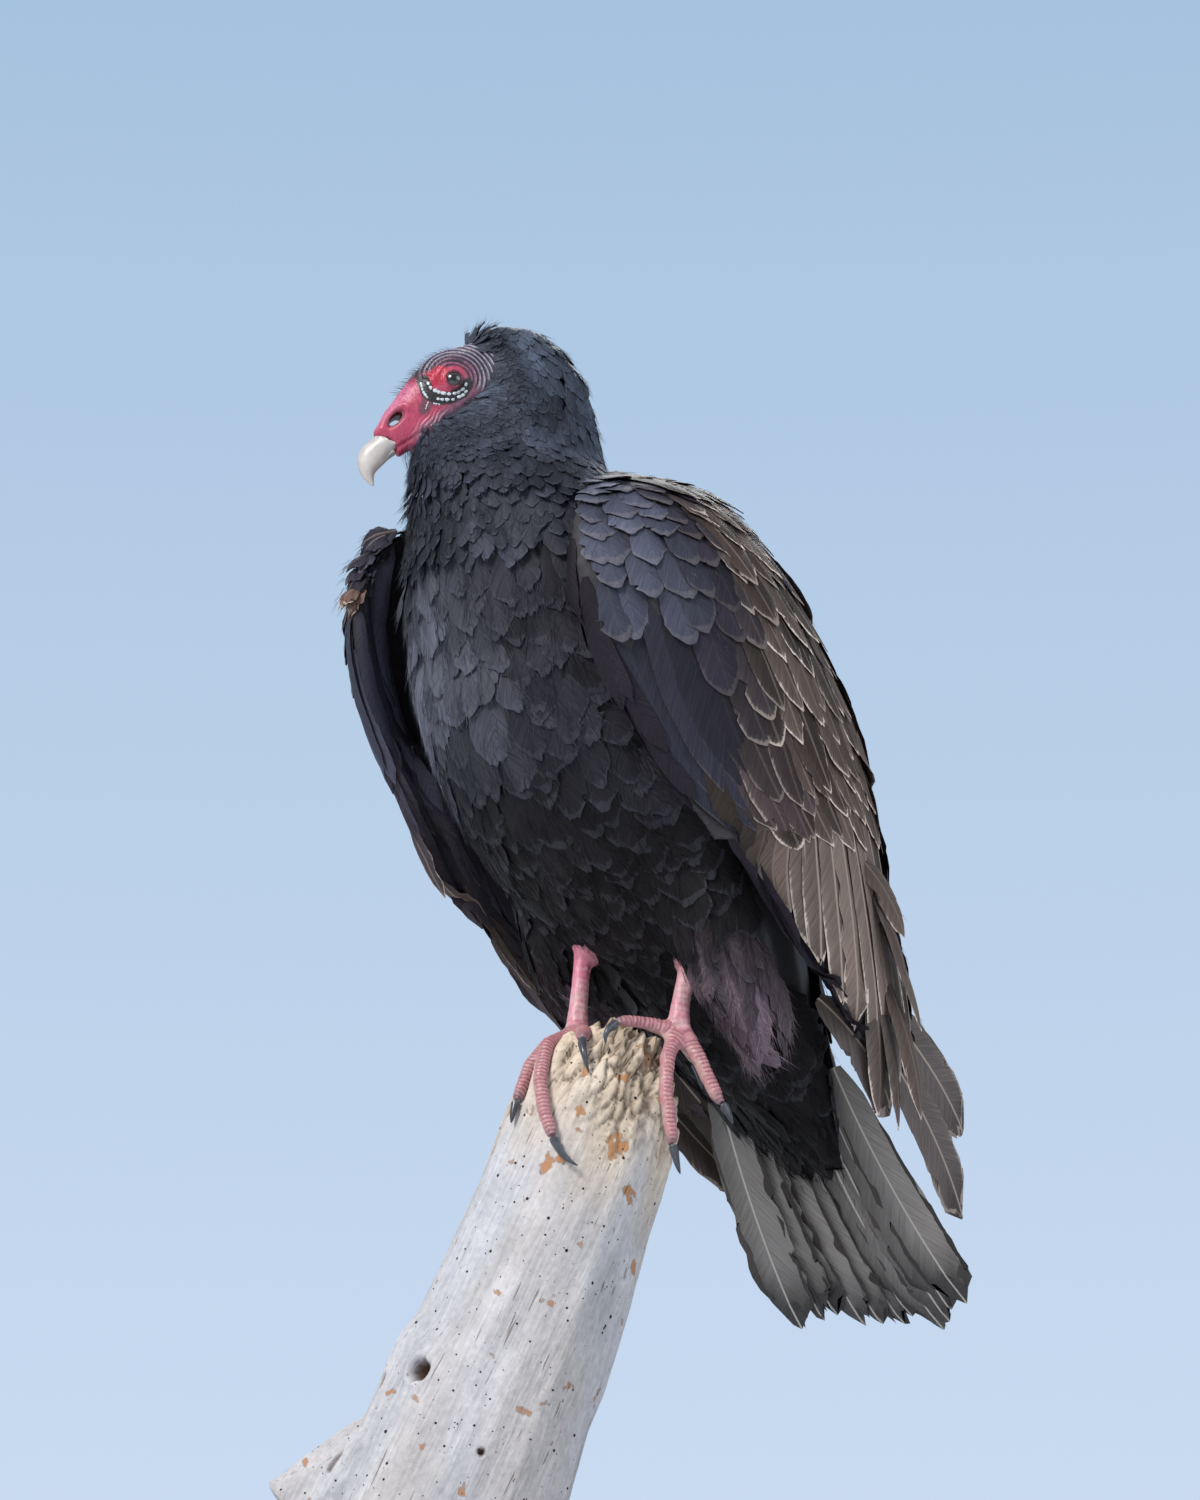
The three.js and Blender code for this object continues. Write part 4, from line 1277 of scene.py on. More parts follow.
# %% Scattering roots
def scatter(piece, wanted, seed, rounds=3):
    """Roots on the piece's faces, no two nearer than the spacing wanted there, with what is wanted."""
    order = np.random.default_rng(seed)
    mesh = piece.data
    cells = {}
    roots = []
    cell_size = 0.016
    for _ in range(rounds):
        for index in order.permutation(len(mesh.polygons)):
            face = mesh.polygons[int(index)]
            a, b = order.uniform(0, 1, 2)
            corners = [mesh.vertices[k].co for k in face.vertices]
            point = corners[0].lerp(corners[1], a).lerp(corners[-1].lerp(corners[2], a), b)
            tract = wanted(point, face.normal)
            if tract is None:
                continue
            gap = tract["gap"]
            key = [int(c // cell_size) for c in point]
            near = [
                other
                for i in (-1, 0, 1) for j in (-1, 0, 1) for k in (-1, 0, 1)
                for other in cells.get((key[0] + i, key[1] + j, key[2] + k), ())
            ]
            if all((other - point).length > gap for other in near):
                cells.setdefault(tuple(key), []).append(point)
                roots.append((point, tract))
    return roots


# %% [markdown]
# ## The body's plumage
# Each tract has its own feathers: tiny ones round the face, a hood of small soft ones down the neck,
# broad loose ones on the breast and belly, longer ones on the back, stiff ones over the tail's root, and
# long hair-like strands on the thighs. Their sizes run smoothly from one tract into the next.

# %% Tracts of the body
HOOD_BLACK = (0.050, 0.063, 0.091)
NECK_LOW_BLACK = (0.027, 0.029, 0.041)
BREAST_BLACK = (0.023, 0.023, 0.031)
# painted highlight: a pale bluish sheen painted onto the breast where light catches it
BREAST_PAINTED_SHEEN = (0.095, 0.100, 0.130)
# the belly's black, painted darker still as the shade under the body
BELLY_SHADED_BLACK = (0.007, 0.006, 0.007)
BACK_BLACK = (0.035, 0.034, 0.044)
THIGH_BROWN = (0.125, 0.092, 0.112)
VENT_BLACK = (0.009, 0.008, 0.009)
WING_COVER_DEPTH = 0.05
LEDGES = (0.703, 0.671)  # heights where the hood's lowest feathers stand off the breast


def under_wing(point, normal):
    out = point + normal * 0.001
    return any(tree.ray_cast(out, normal, WING_COVER_DEPTH)[0] is not None for tree in wing_solids)


def inside(tree, point):
    found, facing, _, _ = tree.find_nearest(point)
    return (point - found).dot(facing) < 0


def grown(value, marks, sizes):
    return float(np.interp(value, marks, sizes))


def body_tract(point, normal):
    """Which tract a root belongs to, and its feathers' sizes there."""
    far = {name: tree.find_nearest(point)[3] for name, tree in REGIONS.items()}
    if inside(REGIONS["head"], point) or under_wing(point, normal):
        return None
    region = min(("neck", "trunk", "thigh"), key=far.get)
    if region == "thigh":
        return {"tract": "thigh", "gap": 0.0085, "length": 0.052, "half": 0.0062, "lift": 0.003, "stiff": 0.6}
    if region == "neck" and point.z > NECK_BASE - 0.02:
        reach = (point - FACE).length
        return {
            "tract": "hood",
            "gap": grown(reach, (0.03, 0.05, 0.11, 0.17), (0.0026, 0.0040, 0.0066, 0.0078)),
            "length": grown(reach, (0.03, 0.05, 0.11, 0.17), (0.008, 0.013, 0.022, 0.026)),
            "half": grown(reach, (0.03, 0.05, 0.11, 0.17), (0.0018, 0.0033, 0.0064, 0.0076)),
            "lift": 0.0007,
            "stiff": 0.1,
        }
    if point.z < TRUNK_LOW + 0.05 and point.y > 0.07:
        return {"tract": "vent", "gap": 0.0085, "length": 0.058, "half": 0.0075, "lift": 0.004, "stiff": 0.85}
    if normal.y > 0.25:
        return {"tract": "back", "gap": 0.0125, "length": 0.046, "half": 0.0125, "lift": 0.0014, "stiff": 0.2}
    grow = grown(point.z, (0.62, NECK_BASE), (1.0, 0.68))
    return {"tract": "breast", "gap": 0.0120 * grow, "length": 0.044 * grow, "half": 0.0125 * grow,
            "lift": 0.0009, "stiff": 0.2}


def body_tint(point, tract):
    """The plumage's own colour at a root."""
    height = point.z
    if tract == "thigh":
        # painted shade: thigh feathers next to the trunk take the shaded belly black, turning brown further
        # out
        base = mixed(BELLY_SHADED_BLACK, THIGH_BROWN, ease(0.0, 0.018, REGIONS["trunk"].find_nearest(point)[3]))
    elif tract == "vent":
        base = np.array(VENT_BLACK)
    elif tract == "back":
        base = np.array(BACK_BLACK)
    elif tract in ("hood", "rim"):
        base = mixed(HOOD_BLACK, NECK_LOW_BLACK, ease(0.78, 0.70, height) if tract == "hood" else 0.7)
    else:
        # painted highlight: a band of bluish sheen painted across the upper breast, on the bird's right front
        painted_sheen = math.exp(-(((height - 0.63) / 0.06) ** 2)) * ease(0.08, 0.0, point.x)
        # painted shade: below the breast the colour darkens towards the shaded belly black
        base = mixed(mixed(BREAST_BLACK, BREAST_PAINTED_SHEEN, painted_sheen), BELLY_SHADED_BLACK, ease(0.61, 0.50, height))
    clump = 1 + 0.9 * noise.noise(Vector(point) * 32) + 0.5 * noise.noise(Vector(point) * 75)
    return base * max(clump, 0.45)


roots = scatter(body, body_tract, 5)
tracts = {}
for point, tract in roots:
    tracts.setdefault(tract["tract"], []).append((point, tract))
print({name: len(members) for name, members in tracts.items()})


# %% Grow each tract
def ledge_lift(point):
    return 0.0035 * sum(math.exp(-(((point.z - ledge - 0.008) / 0.007) ** 2)) for ledge in LEDGES)


def grow_tract(name, rows, columns, **look):
    """Walks every feather of a tract from its root and joins them all as one mesh."""
    members = tracts[name]
    lie = thigh_flow if name == "thigh" else body_flow
    tree = look.pop("tree", body_tree)
    loose = look.pop("barbs")  # how many on each feather, how far they reach, and their radius
    unruly = look.pop("unruly", 0.12)
    grown_ones = []
    for point, tract in members:
        length = tract["length"] * rng.uniform(0.8, 1.2)
        line, facing = walk(tree, point, length, rows, lie, rng.normal(0, unruly), tract["stiff"])
        if not runs_straight(line, length, tract.get("straight", 0.86)):
            continue
        grown_ones.append((
            line, facing, tract["half"] * rng.uniform(0.85, 1.15),
            body_tint(point, name) * rng.uniform(0.72, 1.25), patch_place(point), 0.07 * tract["length"],
            tract["lift"] * rng.uniform(0.4, 1.5) + ledge_lift(point),
        ))
    places, normals, half, tint, uv, depth, lift = columns_of(grown_ones)
    spine = lifted(places, normals, depth, lift)
    half = widths("soft", rows, half)
    vanes(
        "feathers_" + name, spine, normals, half, columns, tint, soft_black, uv,
        slot="dark_plumage", roll=rng.normal(0, 0.08, len(half)), **look,
    )
    fringe("barbs_" + name, "dark_plumage", spine, normals, half, tint, uv, *loose)


grow_tract("hood", 8, 5, ragged=0.12, camber=0.15, fringe=0.2, slits=0.08, shaft=0.0,
           round=0.4, barbs=(9, 0.0085, 0.00012))
grow_tract("breast", 12, 9, ragged=0.10, camber=0.14, fringe=0.2, slits=0.10, shaft=0.0,
           round=0.4, barbs=(24, 0.014, 0.00017))
grow_tract("back", 8, 7, ragged=0.08, camber=0.16, fringe=0.35, shaft=0.3, round=0.35,
           barbs=(3, 0.008, 0.0002))
grow_tract("vent", 9, 5, ragged=0.12, camber=0.2, fringe=0.1, slits=0.1, shaft=0.2,
           barbs=(9, 0.018, 0.00025))
grow_tract("thigh", 9, 5, ragged=0.2, camber=0.25, fringe=0.2, unruly=0.2, shaft=0.0,
           slits=0.15, barbs=(16, 0.012, 0.0002))

# %% [markdown]
# ## The hood's rim, bristles and plates
# The hood begins on the back of the head in a soft raised rim. The crown and cheeks carry short dark
# bristles, the chin a loose tuft, and two rows of small white plates lie in the black under each eye.

# %% Rim of the hood
RIM_TURN = [0, 100, 122, 149, 185, 220, 286, 324, 335, 345, 360]
RIM_REACH = [99, 60, 31, 28.5, 31.0, 24.0, 14.5, 26.5, 38.0, 60, 99]
RIM_CENTRE = 10
RIM_DEPTH = 15

head_form = copy_of(["head", "neck"], "head_form")
remesh(head_form, 0.003, 4)
head_form_tree = tree_of(head_form)


def place_on_head(point):
    across, forward, up = (float(c[0]) for c in head_mm([tuple(point)]))
    turn = math.degrees(math.atan2(up, forward - RIM_CENTRE)) % 360
    reach = math.hypot(forward - RIM_CENTRE, up)
    return across, forward, up, reach - float(np.interp(turn, RIM_TURN, RIM_REACH))


def rim_tract(point, normal):
    _, forward, up, beyond = place_on_head(point)
    if not 0 < beyond < RIM_DEPTH or forward > 44:
        return None
    crest = ease(6, 16, up)
    return {"tract": "rim", "gap": 0.0029, "length": 0.012 + 0.009 * crest, "half": 0.0034,
            "lift": 0.0012 + 0.003 * crest, "stiff": 0.3, "straight": 0.5}


tracts["rim"] = scatter(head_form, rim_tract, 8)
grow_tract("rim", 8, 5, ragged=0.12, camber=0.2, fringe=0.25, shaft=0.0, round=0.4,
           barbs=(9, 0.008, 0.00013), unruly=0.2, tree=head_form_tree)


# %% Bristles
def bristle_tract(point, normal):
    """Where short bristles stand on the bare skin, how long they are and where they point."""
    _, forward, up, beyond = place_on_head(point)
    if beyond > 2 or REGIONS["head"].find_nearest(point)[3] > 0.0025:
        return None
    if up > 11 and -14 < forward < 27:
        return {"gap": 0.0019, "length": 0.0042, "lie": (0, 0.9, 0.5), "tint": 0.008}
    if 16 < forward < 27 and up > 2:
        return {"gap": 0.0024, "length": 0.0034, "lie": (0, 0.5, -0.8), "tint": 0.010}
    if forward > 33 and up < -12 and normal.z < -0.3:
        return {"gap": 0.0012, "length": 0.0170, "lie": (0, 0.2, -1.0), "tint": 0.060}
    if up < -6 and 0 < forward < 36:
        return {"gap": 0.0026, "length": 0.0024, "lie": (0, -0.6, -0.8), "tint": 0.016}
    return None


bristles = []
for point, tract in scatter(head_form, bristle_tract, 9):
    near, normal, _, _ = head_form_tree.find_nearest(point)
    lie = from_head(*tract["lie"]) - from_head(0, 0, 0)
    heading = (normal * 0.55 + lie.normalized() + Vector(rng.normal(0, 0.16, 3))).normalized()
    long = tract["length"] * rng.uniform(0.6, 1.35)
    droop = (lie.normalized() - normal * 0.2) * long * 0.25
    line = [near - normal * 0.0006, near + heading * long * 0.5, near + heading * long + droop]
    tint = np.array((1, 0.96, 1.08)) * tract["tint"] * rng.uniform(0.6, 1.5)
    bristles.append((line, [normal] * 3, tint, patch_place(near)))
lines, ups, tints, places = columns_of(bristles)
strands("bristles", "dark_plumage", lines, ups, np.full(len(lines), 0.00012), tints, places)
bpy.data.objects.remove(head_form)

# %% Plates under the eyes
PLATE_SIDES = 8
PLATE_ROWS = [  # a line of (forward, up), the number of plates, their half length and half width
    ([(12.4, 8.8), (13.3, 4), (11.4, -0.6), (8.0, -4.6), (3.5, -7.3), (-1.5, -7.7), (-4.6, -6)],
     10, 1.5, 1.15),
    ([(15.0, -1.8), (11.7, -5.5), (7.0, -9.0), (1.0, -10.2), (-3.2, -9.2)], 7, 1.4, 1.0),
    ([(15.4, 10.6), (17.7, 5.5), (18.0, 0.5)], 6, 1.1, 0.8),
    ([(17.8, -3.0), (14.5, -7.0)], 3, 0.7, 0.6),
    ([(19.0, -1.0), (23.0, -3.5)], 4, 0.6, 0.45),
]

plate_white, _, _ = mottled_material(
    "plate_white", 0.4, (0.56, 0.60, 0.62), 900.0, 0.3, (0.0002, 0.5), Subsurface_Weight=0.1)

skin_tree = tree_of(skin)
out_axis = Vector(head_axes[:, 0])
ring_turn = np.arange(PLATE_SIDES) * 2 * math.pi / PLATE_SIDES
plate_points = []
for sign in (1, -1):
    for line, wanted, half_long, half_wide in PLATE_ROWS:
        line = np.array(line, float)
        passed = np.concatenate([[0], np.cumsum(np.linalg.norm(np.diff(line, axis=0), axis=1))])
        for k in range(wanted):
            at = passed[-1] * (k + rng.uniform(0.3, 0.7)) / wanted
            ahead, over = (np.interp(at, passed, line[:, c]) for c in (0, 1))
            ahead_on, over_on = (np.interp(at + 0.5, passed, line[:, c]) for c in (0, 1))
            found, normal, _, _ = skin_tree.ray_cast(from_head(30 * sign, ahead, over), -out_axis * sign)
            tangent = from_head(0, ahead_on - ahead, over_on - over) - from_head(0, 0, 0)
            tangent = (tangent - normal * tangent.dot(normal)).normalized()
            across = normal.cross(tangent)
            size = rng.uniform(0.85, 1.12)
            outline = 1 + rng.uniform(-0.22, 0.16, PLATE_SIDES)
            for high, share in ((-0.35, 1.0), (0.16, 0.97), (0.34, 0.7)):
                wobble = share * outline * size * MM
                along = tangent * half_long
                beside = across * half_wide
                plate_points.append(np.array([
                    found + normal * high * MM + (along * math.cos(turn) + beside * math.sin(turn)) * float(w)
                    for turn, w in zip(ring_turn, wobble)
                ]))
plate_points = np.concatenate(plate_points)
PER_PLATE = 3 * PLATE_SIDES
ring = np.arange(PLATE_SIDES)
next_ring = (ring + 1) % PLATE_SIDES
walls = [
    np.stack([low + ring, low + next_ring, low + PLATE_SIDES + next_ring, low + PLATE_SIDES + ring], axis=1)
    for low in (0, PLATE_SIDES)
]
ends = [[3, 2, 1, 0], [7, 4, 3, 0], [7, 6, 5, 4], [16, 17, 18, 19], [16, 19, 20, 23], [20, 21, 22, 23]]
one = np.concatenate([*walls, ends])
starts = np.arange(len(plate_points) // PER_PLATE) * PER_PLATE
plate_faces, = outward(plate_points, (one[None] + starts[:, None, None]).reshape(-1, 4))
plates = place_piece("eye_plates", mesh_of_squares("eye_plates", plate_points, plate_faces))
plates.data.materials.append(plate_white)
dress(plates, "ivory_horn")

# %% [markdown]
# ## The wings' surface
# A folded wing is a shingled sheet. Its front edge and its back edge are two guide lines, and a place on
# it is given by how far down it lies and how far back. Every wing feather runs between two such places,
# and its spine is dropped onto the wing's solid from outside.

# %% Wing guides
WING_FRONT_MM = [
    (68, -88, 306), (84, -108, 288), (95, -122, 255), (99, -114, 212), (103, -82, 160),
    (105, -38, 115), (106, 10, 84), (105, 50, 46), (98, 92, 6), (84, 138, -20),
]
WING_BACK_MM = [
    (66, -62, 316), (90, -6, 305), (106, 28, 268), (112, 58, 224), (116, 84, 178),
    (112, 104, 142), (103, 121, 106), (92, 144, 64), (80, 167, 22), (70, 180, -12),
]
BIRD_AT = np.array([34, 26, 400])  # the bird's own middle in the frame, in millimetres
WING_END = len(WING_FRONT_MM) - 1


def rounded_guide(marks):
    """A guide line through its marks, with the corners eased."""
    marks = np.array(marks, float)
    at = np.linspace(0, WING_END, 181)
    line = np.stack([np.interp(at, np.arange(len(marks)), marks[:, k]) for k in range(3)], axis=1)
    kernel = np.hanning(23) / np.hanning(23).sum()
    padded = np.pad(line, ((11, 11), (0, 0)), mode="reflect", reflect_type="odd")
    return at, np.stack([np.convolve(padded[:, k], kernel, mode="valid") for k in range(3)], axis=1)


guide_at, front_guide = rounded_guide(WING_FRONT_MM)
_, back_guide = rounded_guide(WING_BACK_MM)


def wing_place(sign, down, aft):
    """Row-frame points of places on the wing: down in guide steps, aft from 0 in front to 1 behind."""
    front = np.stack([np.interp(down, guide_at, front_guide[:, k]) for k in range(3)], axis=-1)
    rear = np.stack([np.interp(down, guide_at, back_guide[:, k]) for k in range(3)], axis=-1)
    place = front + (rear - front) * np.asarray(aft)[..., None]
    return (place * (sign, 1, 1) + BIRD_AT) * MM


wing_forms = {}
for side, sign in SIGNS:
    form = copy_of(["wing_coverts_" + side, "wing_secondaries_" + side], "wing_form_" + side)
    remesh(form, 0.003, 3)
    wing_forms[sign] = form
wing_trees = {sign: tree_of(form) for sign, form in wing_forms.items()}


def drop_on_wing(sign, points):
    """Moves points sideways onto the outer face of the wing, and gives the facing there."""
    tree = wing_trees[sign]
    inward = Vector((-sign, 0, 0))
    places = np.array(points)
    facings = np.zeros_like(places)
    flat = places.reshape(-1, 3)
    flat_facing = facings.reshape(-1, 3)
    for i, point in enumerate(flat):
        start = Vector(point) - inward * 0.12
        found, facing, _, _ = tree.ray_cast(start, inward, 0.24)
        if found is None:
            found, facing, _, _ = tree.find_nearest(Vector(point))
            facing = (facing * 0.4 - inward * 0.6).normalized()
        flat[i] = found
        flat_facing[i] = facing
    return places, facings


def smoothed_rows(values, rounds=2):
    for _ in range(rounds):
        inner = (values[:, :-2] + 2 * values[:, 1:-1] + values[:, 2:]) / 4
        values = np.concatenate([values[:, :1], inner, values[:, -1:]], axis=1)
    return values


# %% [markdown]
# ## Wing feathers in rows
# Small slate feathers cover the wrist, and long pointed slate ones run down the front edge. Behind them
# lie browner rows with pale worn edges, each row longer than the one above, and the brown shoulder
# feathers lie over their tops. Rows are staggered by half a feather, as roof tiles are. Under the last
# row come the long secondaries, side by side, each one partly under the next nearer the back.

# %% Wing colours
SLATE = (0.058, 0.064, 0.095)
SLATE_DARK = (0.034, 0.036, 0.054)
PURPLE_BLACK = (0.020, 0.016, 0.024)
WING_BROWN = (0.050, 0.034, 0.029)
BUFF = (0.21, 0.155, 0.125)
TAUPE = (0.125, 0.097, 0.086)
MAUVE = (0.075, 0.053, 0.055)
STEP_MM = 48.0  # one guide step down the wing, about


def brown_border(down):
    """How far back the slate front of the wing reaches."""
    return grown(down, (0, 1, 2.5, 4, 5.5), (0.34, 0.42, 0.44, 0.30, 0.10))


def wing_tint(down, aft):
    """Slate in front, purple-black in the middle, and brown towards the back and the tip."""
    border = brown_border(down)
    front = mixed(SLATE, SLATE_DARK, ease(2.0, 4.0, down))
    front = mixed(front, PURPLE_BLACK, 0.9 * ease(border - 0.22, border - 0.06, aft))
    behind = mixed(WING_BROWN, BUFF, 0.04 + 0.24 * ease(1.8, 4.5, down))
    share = ease(border - 0.02, border + 0.12, aft)
    rear_dark = ease(0.90, 1.0, aft) * 0.75
    worn = share * (1 - rear_dark) * (0.05 + 0.95 * ease(0.5, 1.6, down))
    return mixed(mixed(front, behind, share), PURPLE_BLACK, rear_dark), worn


def wing_uv(down, aft):
    return np.stack([0.04 + 0.42 * np.asarray(aft), 0.03 + 0.94 * np.asarray(down) / WING_END], axis=-1)


# %% Laying a batch of wing feathers
def add_feather(batch, sign, root, tip, half_mm, tint, share, lift_mm, rows=14):
    """One feather from root to tip, both given as (down, aft)."""
    v = np.linspace(0, 1, rows)
    place = wing_place(sign, root[0] + (tip[0] - root[0]) * v, root[1] + (tip[1] - root[1]) * v)
    half = half_mm * rng.uniform(0.92, 1.08) * MM
    batch.append((place, half, tint, share, wing_uv(*root), lift_mm * rng.uniform(0.6, 1.4) * MM))


def lay_batch(name, sign, batch, kind, columns, depth_mm, loose, shingle=0.08, **look):
    at, half, tint, share, uv, lift = columns_of(batch)
    places, facings = drop_on_wing(sign, at)
    places, facings = smoothed_rows(places, 3), unit(smoothed_rows(facings, 4))
    count, rows, _ = places.shape
    spine = lifted(places, facings, np.full(count, depth_mm * MM), lift)
    half = widths(kind, rows, half)
    name += "_left" if sign > 0 else "_right"
    roll = sign * shingle + rng.normal(0, 0.04, count)
    worn = np.clip(0.05 + share * rng.choice((0.35, 0.9, 1.0), count), 0, 1)
    vanes(name, spine, facings, half, columns, tint, vane_brown, uv, roll=roll, fringe=worn,
          shaft=0.02 + 0.3 * share, rear=-sign, **look)
    if loose:
        fringe("barbs_" + name, "wing_plumage", spine, facings, half, tint, uv, loose, 0.005, 0.00014)


# %% Coverts, long front feathers and shoulder feathers
COVERT_ROWS = (0.00, 0.24, 0.48, 0.74, 1.00, 1.28, 1.58, 1.90, 2.26, 2.66, 3.10, 3.54, 3.95)
LONG_FRONT = 5


def covert_tint(down, aft):
    """The colour of one covert: faded or fresh feathers lie side by side where it is brown."""
    tint, share = wing_tint(down, aft)
    fresh = rng.uniform() < 0.3 * share
    return tint * (rng.uniform(0.45, 0.65) if fresh else rng.uniform(0.8, 1.5)), share


def cover_wing(sign):
    small, large = [], []
    for row, down in enumerate(COVERT_ROWS):
        gap = grown(down, (0, 1.5, 4), (11.5, 13.5, 15))
        wide = np.linalg.norm(wing_place(sign, down, 1.0) - wing_place(sign, down, 0.0)) / MM
        count = max(4, int(round(wide / gap)) + 1)
        for i in range(count):
            aft = float(np.clip((i + 0.5 * (row % 2)) / (count - 0.5) + rng.normal(0, 0.01), 0, 1))
            aft = max(aft, 0.04)
            if down > 2.4 and aft < 0.24:
                continue
            root = down + rng.normal(0, 0.05)
            length = grown(down, (0, 1, 2, 3, 4), (30, 38, 48, 64, 84)) * rng.uniform(0.9, 1.12)
            length *= 0.8 + 0.2 * ease(0.1, 0.5, aft)
            tip = (root + length / STEP_MM, aft + rng.normal(0, 0.012))
            tint, share = covert_tint(root + 0.6 * length / STEP_MM, aft)
            half = grown(down, (0, 1.5, 4), (10.5, 11.0, 11.5))
            batch = small if aft < brown_border(down) else large
            add_feather(batch, sign, (root, aft), tip, half, tint, share, 1.3)
    lay_batch("slate_coverts", sign, small, "soft", 7, 2.2, 8, ragged=0.05, camber=0.13, slits=0.05,
              round=0.4, dark_root=0.65, dark_rear=0.3)
    lay_batch("brown_coverts", sign, large, "pointed", 7, 3.0, 4, ragged=0.06, camber=0.10, slits=0.04,
              round=0.4, dark_rear=0.35)

    front = []
    for k in range(LONG_FRONT):
        share = k / (LONG_FRONT - 1)
        root = (2.35 + 0.1 * share, 0.04 + 0.22 * share)
        tip = (5.55 - 0.75 * share, 0.05 + 0.17 * share)
        tint = mixed(SLATE_DARK, PURPLE_BLACK, 0.7 * share) * rng.uniform(0.8, 1.2)
        add_feather(front, sign, root, tip, 14.0, tint, 0.0, 1.0, rows=20)
    lay_batch("front_feathers", sign, front, "lance", 9, 3.5, 0, ragged=0.03, camber=0.10, round=0.2,
              shingle=0.10, dark_rear=0.55, dark_root=0.5)
    mauve = []
    for aft in np.linspace(0.18, 0.46, 7):
        root = (2.7 + 1.2 * (aft - 0.18), aft + 0.03)
        tip = (5.6 - 1.2 * (aft - 0.18) + rng.uniform(-0.25, 0.3), aft - 0.05)
        add_feather(mauve, sign, root, tip, 11.0, np.array(MAUVE) * rng.uniform(0.5, 1.15), 0.4, 1.5, rows=20)
    lay_batch("mauve_coverts", sign, mauve, "blade", 9, 3.2, 3, ragged=0.04, camber=0.12, round=0.4,
              shingle=0.10, dark_rear=0.4, dark_root=0.5)

    shoulder = []
    for row, down in enumerate((0.1, 0.6, 1.15, 1.75, 2.4, 3.1)):
        for i in range(4):
            aft = 0.47 + 0.13 * i + 0.05 * (row % 2) + rng.normal(0, 0.015)
            length = grown(down, (0, 3), (58, 78)) * rng.uniform(0.88, 1.14)
            tint = mixed(WING_BROWN, BUFF, rng.uniform(0.0, 0.4)) * rng.uniform(0.6, 1.2)
            tint *= 0.35 + 0.65 * ease(0.2, 1.2, down)
            root = (down + rng.normal(0, 0.08), min(aft, 0.99))
            tip = (down + length / STEP_MM, min(aft + 0.045, 1.0))
            worn = (0.10 + 0.9 * ease(0.3, 1.4, down)) * rng.uniform(0.7, 1.1)
            add_feather(shoulder, sign, root, tip, 12.5, tint, worn, 2.6, rows=14)
    lay_batch("shoulder_feathers", sign, shoulder, "pointed", 9, 1.0, 6, ragged=0.05, camber=0.14, slits=0.05,
              round=0.35, dark_rear=0.3)


for sign in (1, -1):
    cover_wing(sign)

# %% [markdown]
# ## Flight feathers of the wing
# The secondaries are long straight vanes with a raised pale shaft. Each runs from under the coverts to a
# tip on the wing's lower front edge, and the tips step down to the wing's end.

# %% Secondaries
SECONDARIES = 14
FIRST_SHARE = 0.16
ROOT_DOWN = 3.9
TIP_MARKS = (0, 0.2, 0.4, 0.6, 0.75, 0.9, 1)
TIP_DOWN = (5.0, 5.55, 6.45, 7.6, 8.5, 9.0, 8.8)
TIP_AFT = (0.02, 0.02, 0.03, 0.05, 0.12, 0.5, 0.9)


def flight_feathers(sign):
    share = np.linspace(FIRST_SHARE, 1, SECONDARIES)
    rows = 18
    v = np.linspace(0, 1, rows)
    root = wing_place(sign, np.full(SECONDARIES, ROOT_DOWN), share)
    tip_down = np.interp(share, TIP_MARKS, TIP_DOWN) + rng.normal(0, 0.06, SECONDARIES)
    tip = wing_place(sign, tip_down, np.interp(share, TIP_MARKS, TIP_AFT))
    line = root[:, None] + (tip - root)[:, None] * v[None, :, None]
    places, facings = drop_on_wing(sign, line)
    places, facings = smoothed_rows(places, 3), unit(smoothed_rows(facings, 4))
    spine = lifted(places, facings, np.full(SECONDARIES, 0.002), np.full(SECONDARIES, 0.0012))
    spine = spine + facings * (0.0004 * share)[:, None, None]
    half = rng.uniform(0.0098, 0.0112, SECONDARIES)
    tint = np.array([mixed(TAUPE, BUFF, rng.uniform(0, 0.8)) * rng.uniform(0.7, 1.5) for _ in share])
    tint *= (0.22 + 0.78 * smoothstep(0.2, 0.5, share))[:, None]
    tint[-2:] *= 0.35
    side = "left" if sign > 0 else "right"
    vanes(
        "secondaries_" + side, spine, facings, widths("blade", rows, half), 9, tint, vane_brown,
        wing_uv(np.full(SECONDARIES, 5.0), share) + (0.5, 0), roll=sign * 0.12, ragged=0.05, camber=0.10,
        slits=0.04, fringe=0.9 * smoothstep(0.3, 0.6, share), shaft=smoothstep(0.2, 0.6, share), ridge=0.0006,
        patch=0.02, round=0.3,
        rear=-sign, dark_rear=0.45, worn_tip=0.4, dark_tip=0.3,
    )


for sign in (1, -1):
    flight_feathers(sign)

# %% [markdown]
# ## The folded wings' front and hidden faces
# The faces of a wing that turn to the breast or the back aren't reached from the side. Long narrow dark
# feathers are scattered over them and walked down the wing, as on the body.

# %% Front and rear faces of the wings
WING_FLOWS = (Vector((0, 0.30, -0.95)), Vector((0, 0.72, -0.70)))  # at the wrist, and lower down
# For each wing the blades' gap, shortest and longest length, and stiffness.
EDGE_BLADES = {1: (0.0115, 0.055, 0.085, 0.3), -1: (0.0090, 0.075, 0.115, 0.5)}


def wing_flow(point, normal):
    return laid(WING_FLOWS[0].lerp(WING_FLOWS[1], ease(0.66, 0.57, point.z)), normal)


def near_body(point, normal):
    out = point + normal * 0.002
    return body_tree.ray_cast(out, normal, 0.012)[0] is not None or inside(body_tree, point)


